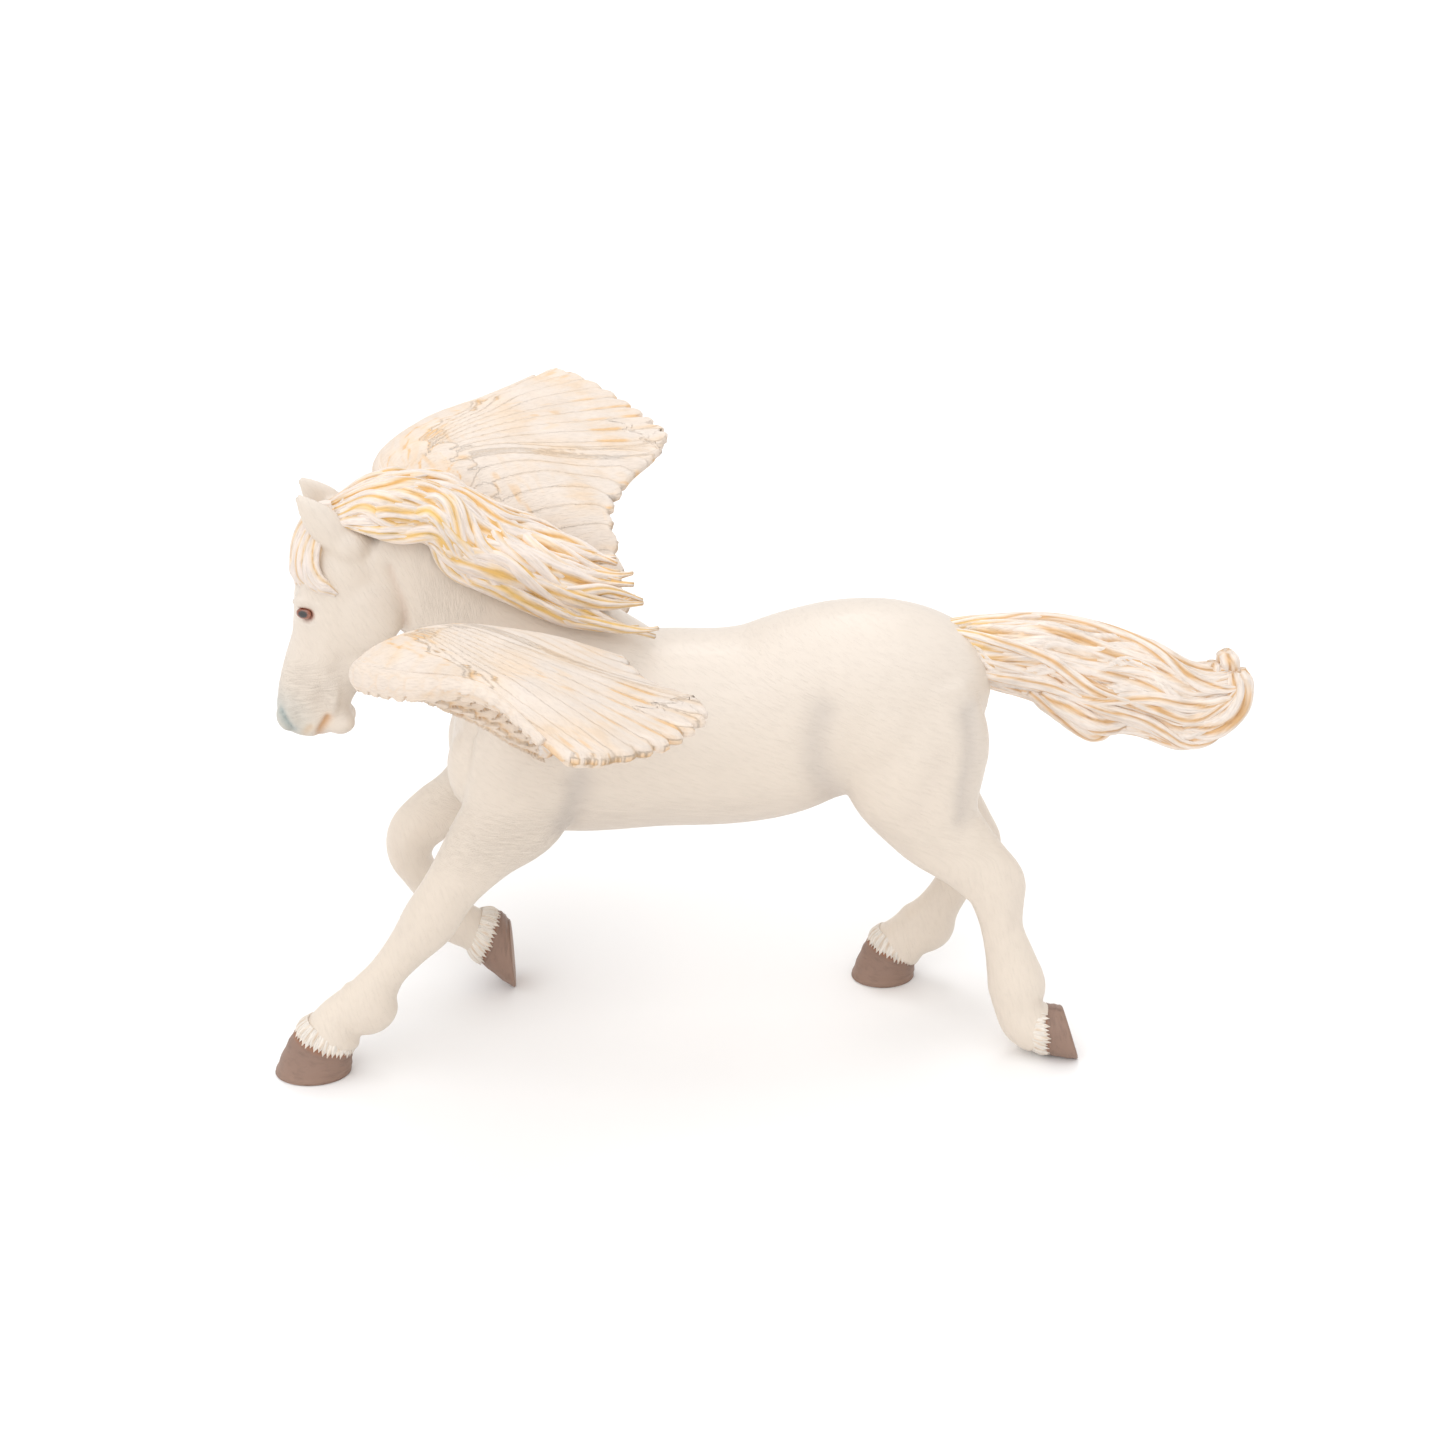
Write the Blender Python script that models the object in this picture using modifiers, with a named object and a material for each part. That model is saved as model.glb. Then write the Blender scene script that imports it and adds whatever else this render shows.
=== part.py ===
"""Pegasus figurine: a winged horse at a gallop, moulded in one piece and painted.

The head points to -X, its left side is -Y, +Z is up and the hooves stand on Z = 0.
Tables are drawn in millimetres, and MM turns them into metres.
"""
import math

import bmesh
import bpy
import numpy as np
from mathutils import Vector

MM = 0.001
LEFT = -1
RIGHT = 1

# Driving sizes in millimetres
TRUNK_LENGTH = 95.0
BARREL_DEPTH = 36.6
BARREL_WIDTH = 31.6
LEG_LENGTH = 43.6
LEG_THICKNESS = 1.0
NECK_LENGTH = 46.0
HEAD_LENGTH = 45.0
HEAD_WIDTH = 14.0
EAR_LENGTH = 11.5
HOOF_LENGTH = 13.6
HOOF_WIDTH = 10.4
WING_REACH = 71.0
WING_THICKNESS = 2.4
WING_EDGE = 3.7
FEATHER_THICKNESS = 1.6
PRIMARY_FEATHERS = 10
TAIL_LENGTH = 54.0
TAIL_STRANDS = 12
TAIL_STRAND_RADIUS = 1.9
MANE_STRAND_RADIUS = 1.6
FLOOR_BITE = 1.2

# How finely the solid is made
FLESH_VOXEL = 0.7
SKIN_VOXEL = 0.48
FLESH_SMOOTH_STEPS = 6
SMOOTH_STEPS = 1
TARGET_TRIANGLES = 11400

# Sizes at which the tables below are drawn, in millimetres
DRAWN_TRUNK = (-48.0, 47.0)
DRAWN_BELLY = 43.6
DRAWN_BACK = 80.2
DRAWN_HALF_WIDTH = 15.8
DRAWN_NECK_ROOT = (-24.0, 66.0)
DRAWN_NECK = 46.0
DRAWN_POLL = (-62.0, 101.0)
DRAWN_HEAD = 45.0
DRAWN_HEAD_WIDTH = 14.0
DRAWN_TAIL_ROOT = (41.0, 75.5)
DRAWN_TAIL = 54.0
DRAWN_WING_ROOT = (-25.0, 15.0, 65.0)
DRAWN_WING_REACH = 71.0


def between(value, low, high, real_low, real_high):
    """Map a drawn value to its real place; past both ends it only shifts."""
    if value <= low:
        return value - low + real_low
    if value >= high:
        return value - high + real_high
    return real_low + (value - low) * (real_high - real_low) / (high - low)


def trunk_x(x):
    middle = (DRAWN_TRUNK[0] + DRAWN_TRUNK[1]) / 2
    return between(x, *DRAWN_TRUNK, middle - TRUNK_LENGTH / 2, middle + TRUNK_LENGTH / 2)


def trunk_z(z):
    if z < DRAWN_BELLY:
        return z * LEG_LENGTH / DRAWN_BELLY
    return between(z, DRAWN_BELLY, DRAWN_BACK, LEG_LENGTH, LEG_LENGTH + BARREL_DEPTH)


def trunk_y(y):
    return y * BARREL_WIDTH / (2 * DRAWN_HALF_WIDTH)


def neck_place(x, z):
    """Place a drawn point of the neck, which grows from its root in the trunk."""
    grow = NECK_LENGTH / DRAWN_NECK
    root_x, root_z = DRAWN_NECK_ROOT
    return (trunk_x(root_x) + (x - root_x) * grow, trunk_z(root_z) + (z - root_z) * grow)


def head_place(x, z):
    """Place a drawn point of the head, which grows from the poll."""
    grow = HEAD_LENGTH / DRAWN_HEAD
    poll_x, poll_z = neck_place(*DRAWN_POLL)
    return (poll_x + (x - DRAWN_POLL[0]) * grow, poll_z + (z - DRAWN_POLL[1]) * grow)


def tail_place(x, z):
    """Place a drawn point of the tail, which grows from the croup."""
    grow = TAIL_LENGTH / DRAWN_TAIL
    root_x, root_z = DRAWN_TAIL_ROOT
    return (trunk_x(root_x) + (x - root_x) * grow, trunk_z(root_z) + (z - root_z) * grow)


def wing_place(x, y, z):
    """Place a drawn point of the wing, which grows from the shoulder."""
    grow = WING_REACH / DRAWN_WING_REACH
    root_x, root_y, root_z = DRAWN_WING_ROOT
    return (trunk_x(root_x) + (x - root_x) * grow,
            trunk_y(root_y) + (y - root_y) * grow,
            trunk_z(root_z) + (z - root_z) * grow)


def smooth_rows(rows, steps):
    """Run a smooth curve through rows of numbers, with the given steps per gap."""
    table = np.array(rows, dtype=float)
    padded = np.vstack([2 * table[0] - table[1], table, 2 * table[-1] - table[-2]])
    result = []
    for index in range(len(table) - 1):
        before, start, end, after = padded[index:index + 4]
        for step in range(steps):
            t = step / steps
            result.append(0.5 * (2 * start + (end - before) * t
                                 + (2 * before - 5 * start + 4 * end - after) * t ** 2
                                 + (3 * start - before - 3 * end + after) * t ** 3))
    result.append(table[-1])
    return np.array(result)


def skin_rings(rings):
    """Close a stack of equal rings into one mesh, with a fan at each end."""
    count = len(rings[0])
    points = [point for ring in rings for point in ring]
    faces = []
    for row in range(len(rings) - 1):
        for column in range(count):
            nextcol = (column + 1) % count
            faces.append((row * count + column, row * count + nextcol,
                          (row + 1) * count + nextcol, (row + 1) * count + column))
    first_centre = len(points)
    points.append(np.mean(rings[0], axis=0))
    points.append(np.mean(rings[-1], axis=0))
    last_row = (len(rings) - 1) * count
    for column in range(count):
        nextcol = (column + 1) % count
        faces.append((nextcol, column, first_centre))
        faces.append((last_row + column, last_row + nextcol, first_centre + 1))
    return points, faces


def ellipse(centre, long_axis, side_axis, half_long, half_side, count):
    """One ring of points round an ellipse."""
    ring = []
    for index in range(count):
        angle = 2 * math.pi * index / count
        ring.append(centre + long_axis * (half_long * math.cos(angle))
                    + side_axis * (half_side * math.sin(angle)))
    return ring


def limb(rows, count=18, steps=4):
    """Loft ellipses along a path: rows of x, y, z, half fore-and-aft, half side."""
    table = smooth_rows(rows, steps)
    centres = table[:, :3]
    tangents = np.gradient(centres, axis=0)
    rings = []
    for centre, tangent, row in zip(centres, tangents, table):
        tangent = tangent / np.linalg.norm(tangent)
        side = np.array([0.0, 1.0, 0.0]) - tangent * tangent[1]
        side = side / np.linalg.norm(side)
        fore = np.cross(side, tangent)
        rings.append(ellipse(centre, fore, side, max(row[3], 0.2), max(row[4], 0.2), count))
    return skin_rings(rings)


def stack(rows, count=20):
    """Loft ellipses with a stated tilt: rows of x, y, z, half long, half side, degrees."""
    rings = []
    for x, y, z, half_long, half_side, tilt in rows:
        angle = math.radians(tilt)
        fore = np.array([math.cos(angle), 0.0, math.sin(angle)])
        rings.append(ellipse(np.array([x, y, z]), fore, np.array([0.0, 1.0, 0.0]),
                             half_long, half_side, count))
    return skin_rings(rings)


def strand(points, radii, count=7, flat=1.0):
    """A lock of hair: a tube along a path, with a radius at each point."""
    path = np.array(points, dtype=float)
    tangents = np.gradient(path, axis=0)
    side = np.array([0.0, 1.0, 0.0])
    rings = []
    for centre, tangent, radius in zip(path, tangents, radii):
        tangent = tangent / np.linalg.norm(tangent)
        side = side - tangent * np.dot(side, tangent)
        side = side / np.linalg.norm(side)
        up = np.cross(tangent, side)
        rings.append(ellipse(centre, up, side, radius, radius * flat, count))
    return skin_rings(rings)


def ball(centre, half_sizes, rows=9, count=14):
    """An ellipsoid that fills out a muscle."""
    rings = []
    for index in range(1, rows):
        angle = math.pi * index / rows
        level = np.array(centre) + np.array([0.0, 0.0, half_sizes[2] * math.cos(angle)])
        rings.append(ellipse(level, np.array([1.0, 0.0, 0.0]), np.array([0.0, 1.0, 0.0]),
                             half_sizes[0] * math.sin(angle), half_sizes[1] * math.sin(angle),
                             count))
    return skin_rings(rings)


def trunk():
    """Barrel from chest to buttock: rows of x, back line, belly line, half width."""
    rows = [(-48.4, 65.0, 56.5, 4.5), (-46.3, 70.5, 50.5, 9.0), (-42.0, 74.5, 46.0, 11.8),
            (-35.0, 77.5, 43.6, 13.8), (-25.0, 79.5, 42.9, 15.2), (-12.0, 80.3, 43.6, 15.8),
            (0.0, 80.0, 43.6, 15.8), (8.0, 81.0, 44.6, 15.6), (15.0, 83.4, 47.2, 15.2),
            (23.0, 85.0, 49.5, 15.6), (31.0, 84.4, 50.0, 15.6), (38.0, 81.6, 51.0, 13.6),
            (43.0, 77.0, 53.0, 10.0), (46.3, 71.0, 57.0, 5.5)]
    path = []
    for x, top, bottom, half_width in rows:
        high = trunk_z(top)
        low = trunk_z(bottom)
        path.append((trunk_x(x), 0.0, (high + low) / 2, (high - low) / 2, trunk_y(half_width)))
    return [limb(path, count=28)]


def neck():
    """Arched neck: rows of x, z, half depth, half width."""
    rows = [(-21.0, 63.5, 19.0, 12.5), (-29.0, 71.0, 18.2, 12.0), (-37.0, 81.0, 15.4, 9.6),
            (-44.5, 89.0, 13.2, 7.8), (-52.5, 95.0, 11.6, 6.9), (-60.5, 98.4, 9.4, 6.3)]
    grow = NECK_LENGTH / DRAWN_NECK
    path = []
    for x, z, half_depth, half_width in rows:
        place_x, place_z = neck_place(x, z)
        path.append((place_x, 0.0, place_z, half_depth * grow, half_width * grow))
    return [limb(path, count=24)]


def head():
    """Skull from poll to lips, cheeks, brows and ears."""
    rows = [(-62.5, 106.0, 3.0, 3.0), (-64.0, 103.4, 5.8, 5.2), (-64.3, 98.0, 8.0, 6.6),
            (-65.2, 92.0, 9.0, 7.0), (-65.9, 86.5, 9.1, 6.8), (-67.6, 81.0, 8.3, 5.8),
            (-70.2, 76.0, 7.3, 4.7), (-72.2, 71.0, 6.6, 4.2), (-72.7, 67.0, 6.4, 4.3),
            (-72.6, 64.9, 5.0, 3.7), (-72.4, 63.3, 2.6, 2.2)]
    grow = HEAD_LENGTH / DRAWN_HEAD
    wide = HEAD_WIDTH / DRAWN_HEAD_WIDTH
    path = []
    for x, z, half_depth, half_width in rows:
        place_x, place_z = head_place(x, z)
        path.append((place_x, 0.0, place_z, half_depth * grow, half_width * wide))
    pieces = [limb(path, count=22)]
    volumes = [((-61.8, 4.6, 88.5), (6.4, 3.2, 7.4)), ((-72.2, 4.2, 90.6), (2.4, 1.7, 1.9)),
               ((-69.0, 3.4, 77.0), (2.0, 1.8, 9.0)), ((-76.6, 2.7, 68.0), (2.6, 2.0, 3.2)),
               ((-68.0, 1.5, 66.0), (2.8, 2.4, 2.5)), ((-64.0, 4.6, 101.0), (3.6, 2.6, 3.4))]
    for side in (LEFT, RIGHT):
        for (x, y, z), (half_x, half_y, half_z) in volumes:
            place_x, place_z = head_place(x, z)
            pieces.append(ball((place_x, side * y * wide, place_z),
                               (half_x * grow, half_y * wide, half_z * grow)))
        pieces.append(ear(side))
    return pieces


def ear(side):
    """A leaf-shaped ear that leans forward, from its root on the poll to its tip."""
    root_x, root_z = head_place(-65.2, 101.4)
    lean = math.radians(50)
    wide = HEAD_WIDTH / DRAWN_HEAD_WIDTH
    rows = [(0.0, 4.5, 2.8, 2.2), (0.28, 4.6, 3.2, 2.0), (0.55, 4.5, 2.9, 1.6),
            (0.8, 4.2, 1.8, 1.2), (1.0, 3.9, 0.5, 0.5)]
    path = []
    for along, y, half_width, half_thickness in rows:
        reach = along * EAR_LENGTH
        path.append((root_x - reach * math.cos(lean), side * y * wide,
                     root_z + reach * math.sin(lean), half_width, half_thickness))
    return limb(path, count=14)


def leg(rows):
    """Loft one leg, whose height follows the leg length and whose top sits in the trunk."""
    path = []
    for x, y, z, half_fore, half_side in rows:
        thick = LEG_THICKNESS
        path.append((trunk_x(x), trunk_y(y), trunk_z(z), half_fore * thick, half_side * thick))
    return limb(path, count=18)


def fore_legs():
    """The left foreleg reaches forward to the ground; the right one is folded under."""
    left = [(-32.5, -8.5, 70.0, 8.5, 5.0), (-34.5, -10.3, 60.0, 10.8, 6.2),
            (-38.0, -11.2, 51.5, 9.6, 6.2), (-43.8, -12.0, 45.0, 7.0, 5.4),
            (-49.4, -12.4, 37.6, 5.2, 4.4), (-54.0, -12.8, 30.5, 5.1, 4.3),
            (-57.8, -13.0, 25.6, 4.0, 3.5), (-61.6, -13.2, 20.9, 3.5, 3.0),
            (-64.2, -13.2, 17.0, 4.4, 3.5), (-66.5, -13.2, 13.8, 5.4, 4.1),
            (-69.8, -13.2, 11.0, 4.6, 3.9), (-72.8, -13.2, 7.6, 5.8, 4.8)]
    right = [(-33.0, 8.5, 70.0, 8.5, 5.0), (-35.5, 9.8, 58.5, 10.2, 6.0),
             (-40.5, 10.4, 50.0, 8.6, 5.6), (-47.0, 11.0, 43.6, 6.3, 4.9),
             (-53.2, 11.6, 39.4, 5.4, 4.4), (-57.0, 12.0, 35.4, 4.9, 4.2),
             (-57.9, 12.3, 30.6, 4.2, 3.7), (-56.2, 12.6, 26.2, 3.5, 3.2),
             (-54.4, 13.0, 21.9, 3.0, 2.8), (-52.3, 13.3, 17.9, 3.3, 3.0),
             (-49.8, 13.6, 14.8, 4.4, 3.7), (-46.8, 13.9, 12.8, 4.3, 3.7),
             (-44.0, 14.1, 11.2, 5.5, 4.5)]
    return [leg(left), leg(right)]


def hind_legs():
    """The left hind leg pushes off from its toe; the right one swings under the belly."""
    left = [(31.0, -7.6, 72.0, 12.5, 6.6), (33.0, -8.8, 62.0, 14.0, 8.0),
            (34.6, -9.6, 53.5, 12.4, 7.8), (37.8, -10.6, 46.0, 8.8, 6.4),
            (42.4, -11.6, 41.0, 6.9, 5.2), (45.8, -12.2, 37.6, 6.1, 4.5),
            (48.6, -12.8, 34.2, 5.8, 4.1), (49.5, -13.3, 30.2, 4.7, 3.6),
            (50.2, -13.9, 25.6, 3.9, 3.0), (51.7, -14.6, 20.2, 4.5, 3.3),
            (53.2, -15.2, 14.2, 5.4, 4.0), (53.6, -15.7, 10.2, 4.6, 3.7),
            (55.2, -16.0, 6.6, 4.7, 4.1), (58.0, -16.2, 5.0, 5.0, 4.5)]
    right = [(30.0, 7.6, 72.0, 12.5, 6.6), (31.5, 8.8, 62.0, 13.6, 8.0),
             (33.0, 9.4, 54.0, 11.8, 7.6), (37.0, 9.6, 47.0, 9.0, 6.4),
             (42.0, 9.8, 40.0, 7.0, 5.2), (46.4, 10.0, 33.8, 5.7, 4.4),
             (48.6, 10.1, 29.4, 5.2, 4.0), (47.3, 10.2, 25.4, 4.3, 3.5),
             (44.8, 10.4, 20.8, 3.8, 3.1), (42.2, 10.7, 16.0, 4.2, 3.4),
             (40.0, 11.1, 12.0, 5.8, 4.1), (36.8, 11.6, 9.2, 4.9, 3.9),
             (34.4, 12.0, 6.6, 5.6, 4.6)]
    return [leg(left), leg(right)]


def hooves():
    """Four hooves, each from its coronet to its sole: rows as in stack()."""
    long = HOOF_LENGTH / 2
    wide = HOOF_WIDTH / 2
    below = -FLOOR_BITE
    flat_left = [(-73.6, -13.2, 7.4, 0.78, 0.86, -24), (-74.6, -13.2, 5.4, 0.86, 0.92, -19),
                 (-76.2, -13.1, 0.9, 1.0, 1.0, -2), (-76.5, -13.1, below, 1.02, 1.0, 0)]
    flat_right = [(34.0, 12.1, 6.8, 0.72, 0.78, -26), (33.3, 12.2, 5.0, 0.78, 0.84, -20),
                  (32.2, 12.3, 0.9, 0.87, 0.94, -2), (32.0, 12.3, below, 0.9, 0.96, 0)]
    toe_left = [(57.8, -16.2, 5.2, 0.68, 0.84, 92), (59.4, -16.3, 4.9, 0.73, 0.90, 96),
                (62.9, -16.5, 4.3, 0.77, 0.98, 106), (63.5, -16.5, 4.3, 0.71, 0.92, 107)]
    toe_right = [(-44.6, 14.1, 11.2, 0.78, 0.84, 66), (-43.2, 14.2, 10.3, 0.85, 0.90, 72),
                 (-40.0, 14.4, 7.0, 1.03, 1.02, 92), (-39.4, 14.4, 7.0, 0.97, 0.96, 93)]
    pieces = []
    for rows in (flat_left, flat_right, toe_left, toe_right):
        placed = []
        for x, y, z, share_long, share_wide, tilt in rows:
            height = trunk_z(z) if z > 0 else z
            placed.append((trunk_x(x), trunk_y(y), height,
                           share_long * long, share_wide * wide, tilt))
        pieces.append(stack(placed))
    return pieces


def muscles():
    """Volumes that fill out chest, shoulders, withers, haunches and stifles on both sides."""
    volumes = [((-45.0, 5.5, 58.0), (4.5, 5.5, 8.0)), ((-37.0, 10.8, 62.0), (8.0, 4.6, 10.0)),
               ((-17.0, 2.0, 75.5), (12.0, 4.5, 5.0)), ((28.0, 9.2, 65.0), (10.5, 7.4, 12.5)),
               ((39.0, 7.0, 62.0), (7.6, 5.6, 13.0)), ((28.0, 9.6, 57.5), (7.5, 5.6, 8.5))]
    pieces = []
    for side in (LEFT, RIGHT):
        for (x, y, z), half_sizes in volumes:
            pieces.append(ball((trunk_x(x), side * trunk_y(y), trunk_z(z)), half_sizes))
    return pieces


def wing_grid():
    """Ribs of the right wing from shoulder to tips, each from leading to trailing edge."""
    ribs = [[(-32.5, 14.0, 64.5), (-28.0, 14.8, 66.5), (-22.0, 14.8, 67.0), (-17.0, 14.2, 67.0)],
            [(-39.4, 22.2, 75.4), (-33.5, 22.0, 81.0), (-25.0, 21.5, 81.5), (-17.0, 19.2, 77.5)],
            [(-47.0, 28.8, 83.4), (-41.0, 28.5, 91.5), (-30.0, 28.0, 92.0), (-18.5, 25.0, 86.5)],
            [(-55.0, 35.4, 90.4), (-48.0, 35.5, 98.8), (-34.0, 36.0, 97.6), (-19.5, 32.0, 90.8)],
            [(-60.4, 43.8, 95.2), (-52.0, 45.5, 101.4), (-36.0, 45.5, 99.4), (-16.8, 42.0, 92.0)],
            [(-53.0, 54.5, 98.6), (-44.5, 55.0, 101.4), (-30.0, 54.0, 99.0), (-12.0, 49.5, 93.2)],
            [(-41.0, 63.5, 101.0), (-34.0, 63.5, 101.0), (-23.0, 61.0, 97.6), (-10.2, 52.5, 93.8)],
            [(-31.8, 76.0, 100.4), (-23.5, 73.0, 98.2), (-16.5, 65.0, 95.4), (-9.8, 53.8, 94.0)]]
    return [[wing_place(*point) for point in rib] for rib in ribs]


def sample_wing(grid, span, chord):
    """A point of the wing's middle surface at shares 0 to 1 of its span and chord."""
    ribs = []
    for rib in grid:
        ribs.append(curve_point(rib, chord))
    return curve_point(ribs, span)


def curve_point(points, share):
    """A point at a share of the way along a smooth curve through the given points."""
    table = np.array(points, dtype=float)
    place = min(max(share, 0.0), 1.0) * (len(table) - 1)
    index = min(int(place), len(table) - 2)
    t = place - index
    start = table[index]
    end = table[index + 1]
    before = table[index - 1] if index > 0 else 2 * start - end
    after = table[index + 2] if index + 2 < len(table) else 2 * end - start
    return 0.5 * (2 * start + (end - before) * t + (2 * before - 5 * start + 4 * end - after) * t ** 2
                  + (3 * start - before - 3 * end + after) * t ** 3)


def wing_normal(grid, span, chord):
    """The upward normal of the wing's middle surface."""
    step = 0.01
    along = (sample_wing(grid, min(span + step, 1), chord)
             - sample_wing(grid, max(span - step, 0), chord))
    across = (sample_wing(grid, span, min(chord + step, 1))
              - sample_wing(grid, span, max(chord - step, 0)))
    normal = np.cross(across, along)
    return normal / np.linalg.norm(normal)


def wing_sheet(grid):
    """The wing's plate, thick at the leading edge and thin behind, as one closed mesh."""
    span_steps = 28
    chord_steps = 14
    upper = []
    lower = []
    for row in range(span_steps + 1):
        for column in range(chord_steps + 1):
            span = row / span_steps
            chord = column / chord_steps
            point = sample_wing(grid, span, chord)
            normal = wing_normal(grid, span, chord)
            half = WING_THICKNESS * (0.62 - 0.24 * chord)
            upper.append(point + normal * half)
            lower.append(point - normal * half)
    width = chord_steps + 1
    points = upper + lower
    shift = len(upper)
    faces = []
    for row in range(span_steps):
        for column in range(chord_steps):
            corner = row * width + column
            faces.append((corner, corner + 1, corner + width + 1, corner + width))
            faces.append((corner + shift, corner + shift + width,
                          corner + shift + width + 1, corner + shift + 1))
    rim = [column for column in range(chord_steps)]
    rim += [row * width + chord_steps for row in range(span_steps)]
    rim += [span_steps * width + column for column in range(chord_steps, 0, -1)]
    rim += [row * width for row in range(span_steps, 0, -1)]
    for index, corner in enumerate(rim):
        following = rim[(index + 1) % len(rim)]
        faces.append((following, corner, corner + shift, following + shift))
    return points, faces


def feather(grid, root, tip, width, lift, overhang=0.0, steps=8):
    """A flat quill with a round end, laid on the wing from root to tip (span, chord)."""
    root_point = sample_wing(grid, *root)
    tip_point = sample_wing(grid, *tip)
    heading = (tip_point - root_point) / np.linalg.norm(tip_point - root_point)
    length = np.linalg.norm(tip_point - root_point) + overhang
    shares = [0.9 * index / steps for index in range(steps + 1)]
    round_start = max(0.3, 1.0 - 0.55 * width / length)
    shares = [share for share in shares if share < round_start - 0.03]
    for index in range(6):
        shares.append(1.0 - (1.0 - round_start) * math.cos(math.pi / 2 * index / 5.4))
    rings = []
    for share in shares:
        reach = share * length / (length - overhang)
        on_wing = min(reach, 1.0)
        span = root[0] + (tip[0] - root[0]) * on_wing
        chord = root[1] + (tip[1] - root[1]) * on_wing
        normal = wing_normal(grid, span, chord)
        centre = sample_wing(grid, span, chord) + normal * lift
        centre = centre + heading * (length - overhang) * (reach - on_wing)
        side = np.cross(normal, heading)
        side = side / np.linalg.norm(side)
        past = max(0.0, share - round_start) / (1.0 - round_start)
        half = 0.5 * width * math.sqrt(max(0.03, 1 - past ** 2)) * (0.8 + 0.2 * min(1, share * 2))
        rings.append(ellipse(centre, side, normal, half, FEATHER_THICKNESS / 2, 10))
    return skin_rings(rings)


def wing(side):
    """Plate, rounded leading edge, primaries, secondaries and covert feathers."""
    grid = wing_grid()
    pieces = [wing_sheet(grid)]
    edge = []
    radii = []
    for index in range(33):
        span = index / 32
        edge.append(sample_wing(grid, span, 0.03) - np.array([0.0, 0.0, 0.3]))
        radii.append(WING_EDGE * (0.72 + 0.9 * span * (1 - span) - 0.24 * span))
    pieces.append(strand(edge, radii, count=10))
    for index in range(PRIMARY_FEATHERS):
        share = index / (PRIMARY_FEATHERS - 1)
        root = (0.56 - 0.04 * share, 0.06 + 0.40 * share)
        tip = (1.0, share)
        overhang = 5.0 * (1.0 - share) ** 2 + 4.6
        pieces.append(feather(grid, root, tip, 5.4 - share, 0.35 + 0.25 * (index % 2), overhang))
    secondaries = 7
    for index in range(secondaries):
        share = (index + 0.5) / secondaries
        root = (0.16 + 0.44 * share, 0.45)
        tip = (0.06 + 0.84 * share, 1.0)
        pieces.append(feather(grid, root, tip, 6.0, 0.35 + 0.25 * (index % 2), 2.2))
    coverts = 9
    for index in range(coverts):
        share = (index + 0.5) / coverts
        root = (0.10 + 0.62 * share, 0.12)
        tip = (0.12 + 0.70 * share, 0.50 - 0.06 * share)
        pieces.append(feather(grid, root, tip, 6.0, 1.1 + 0.2 * (index % 2), 0.0))
    result = []
    for points, faces in pieces:
        placed = [np.array([point[0], side * point[1], point[2]]) for point in points]
        if side == LEFT:
            faces = [tuple(reversed(face)) for face in faces]
        result.append((placed, faces))
    return result


def mane():
    """Hair over the crest of the neck: a core and wavy locks between guide lines."""
    core_rows = [(-65.5, 103.6, 2.4, 2.4), (-59.0, 104.8, 3.4, 4.4), (-51.0, 103.2, 4.8, 6.2),
                 (-42.0, 98.8, 6.0, 8.0), (-33.0, 93.6, 6.4, 9.0), (-25.0, 88.8, 5.6, 8.8),
                 (-17.0, 84.0, 4.4, 6.8), (-10.0, 80.2, 2.0, 3.6)]
    grow = NECK_LENGTH / DRAWN_NECK
    core = []
    for x, z, half_high, half_wide in core_rows:
        place_x, place_z = neck_place(x, z)
        core.append((place_x, 0.0, place_z, half_high * grow, half_wide * grow))
    pieces = [limb(core, count=16)]
    guides = [[(-66.0, 0.0, 106.0), (-58.6, 0.0, 109.2), (-51.0, 0.0, 109.2), (-41.5, 0.0, 106.6),
               (-31.5, 0.0, 102.0), (-23.5, 0.0, 97.0), (-17.0, -0.5, 93.6)],
              [(-65.5, -3.0, 105.4), (-57.5, -4.8, 107.2), (-48.5, -5.8, 105.8),
               (-39.5, -6.8, 102.2), (-30.5, -7.2, 97.6), (-22.5, -6.4, 92.4), (-14.5, -4.4, 88.6)],
              [(-65.0, -4.2, 104.6), (-57.5, -6.2, 105.0), (-48.5, -7.6, 103.4),
               (-40.5, -8.8, 98.4), (-31.0, -9.4, 93.8), (-22.0, -8.8, 88.8), (-12.5, -6.0, 84.6)],
              [(-64.5, -4.6, 104.0), (-57.5, -6.8, 103.0), (-51.0, -8.0, 101.2),
               (-45.5, -8.8, 96.6), (-38.5, -9.8, 92.4), (-29.0, -10.4, 90.2),
               (-20.0, -10.0, 85.6), (-11.0, -7.0, 81.8)],
              [(-64.0, -4.8, 103.4), (-58.5, -6.6, 101.4), (-53.5, -7.4, 100.8),
               (-50.0, -8.0, 97.6), (-47.0, -8.4, 93.4), (-40.0, -9.4, 90.4), (-33.0, -10.4, 88.6),
               (-24.0, -11.0, 85.0), (-13.5, -8.6, 81.2)]]
    near_locks = 9
    for number in range(near_locks):
        pieces.append(lock(guides, 4.0 * number / (near_locks - 1), number, LEFT))
    far_locks = 8
    for number in range(far_locks):
        pieces.append(lock(guides, 0.4 + 2.6 * number / (far_locks - 1), number + 20, RIGHT))
    return pieces


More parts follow.
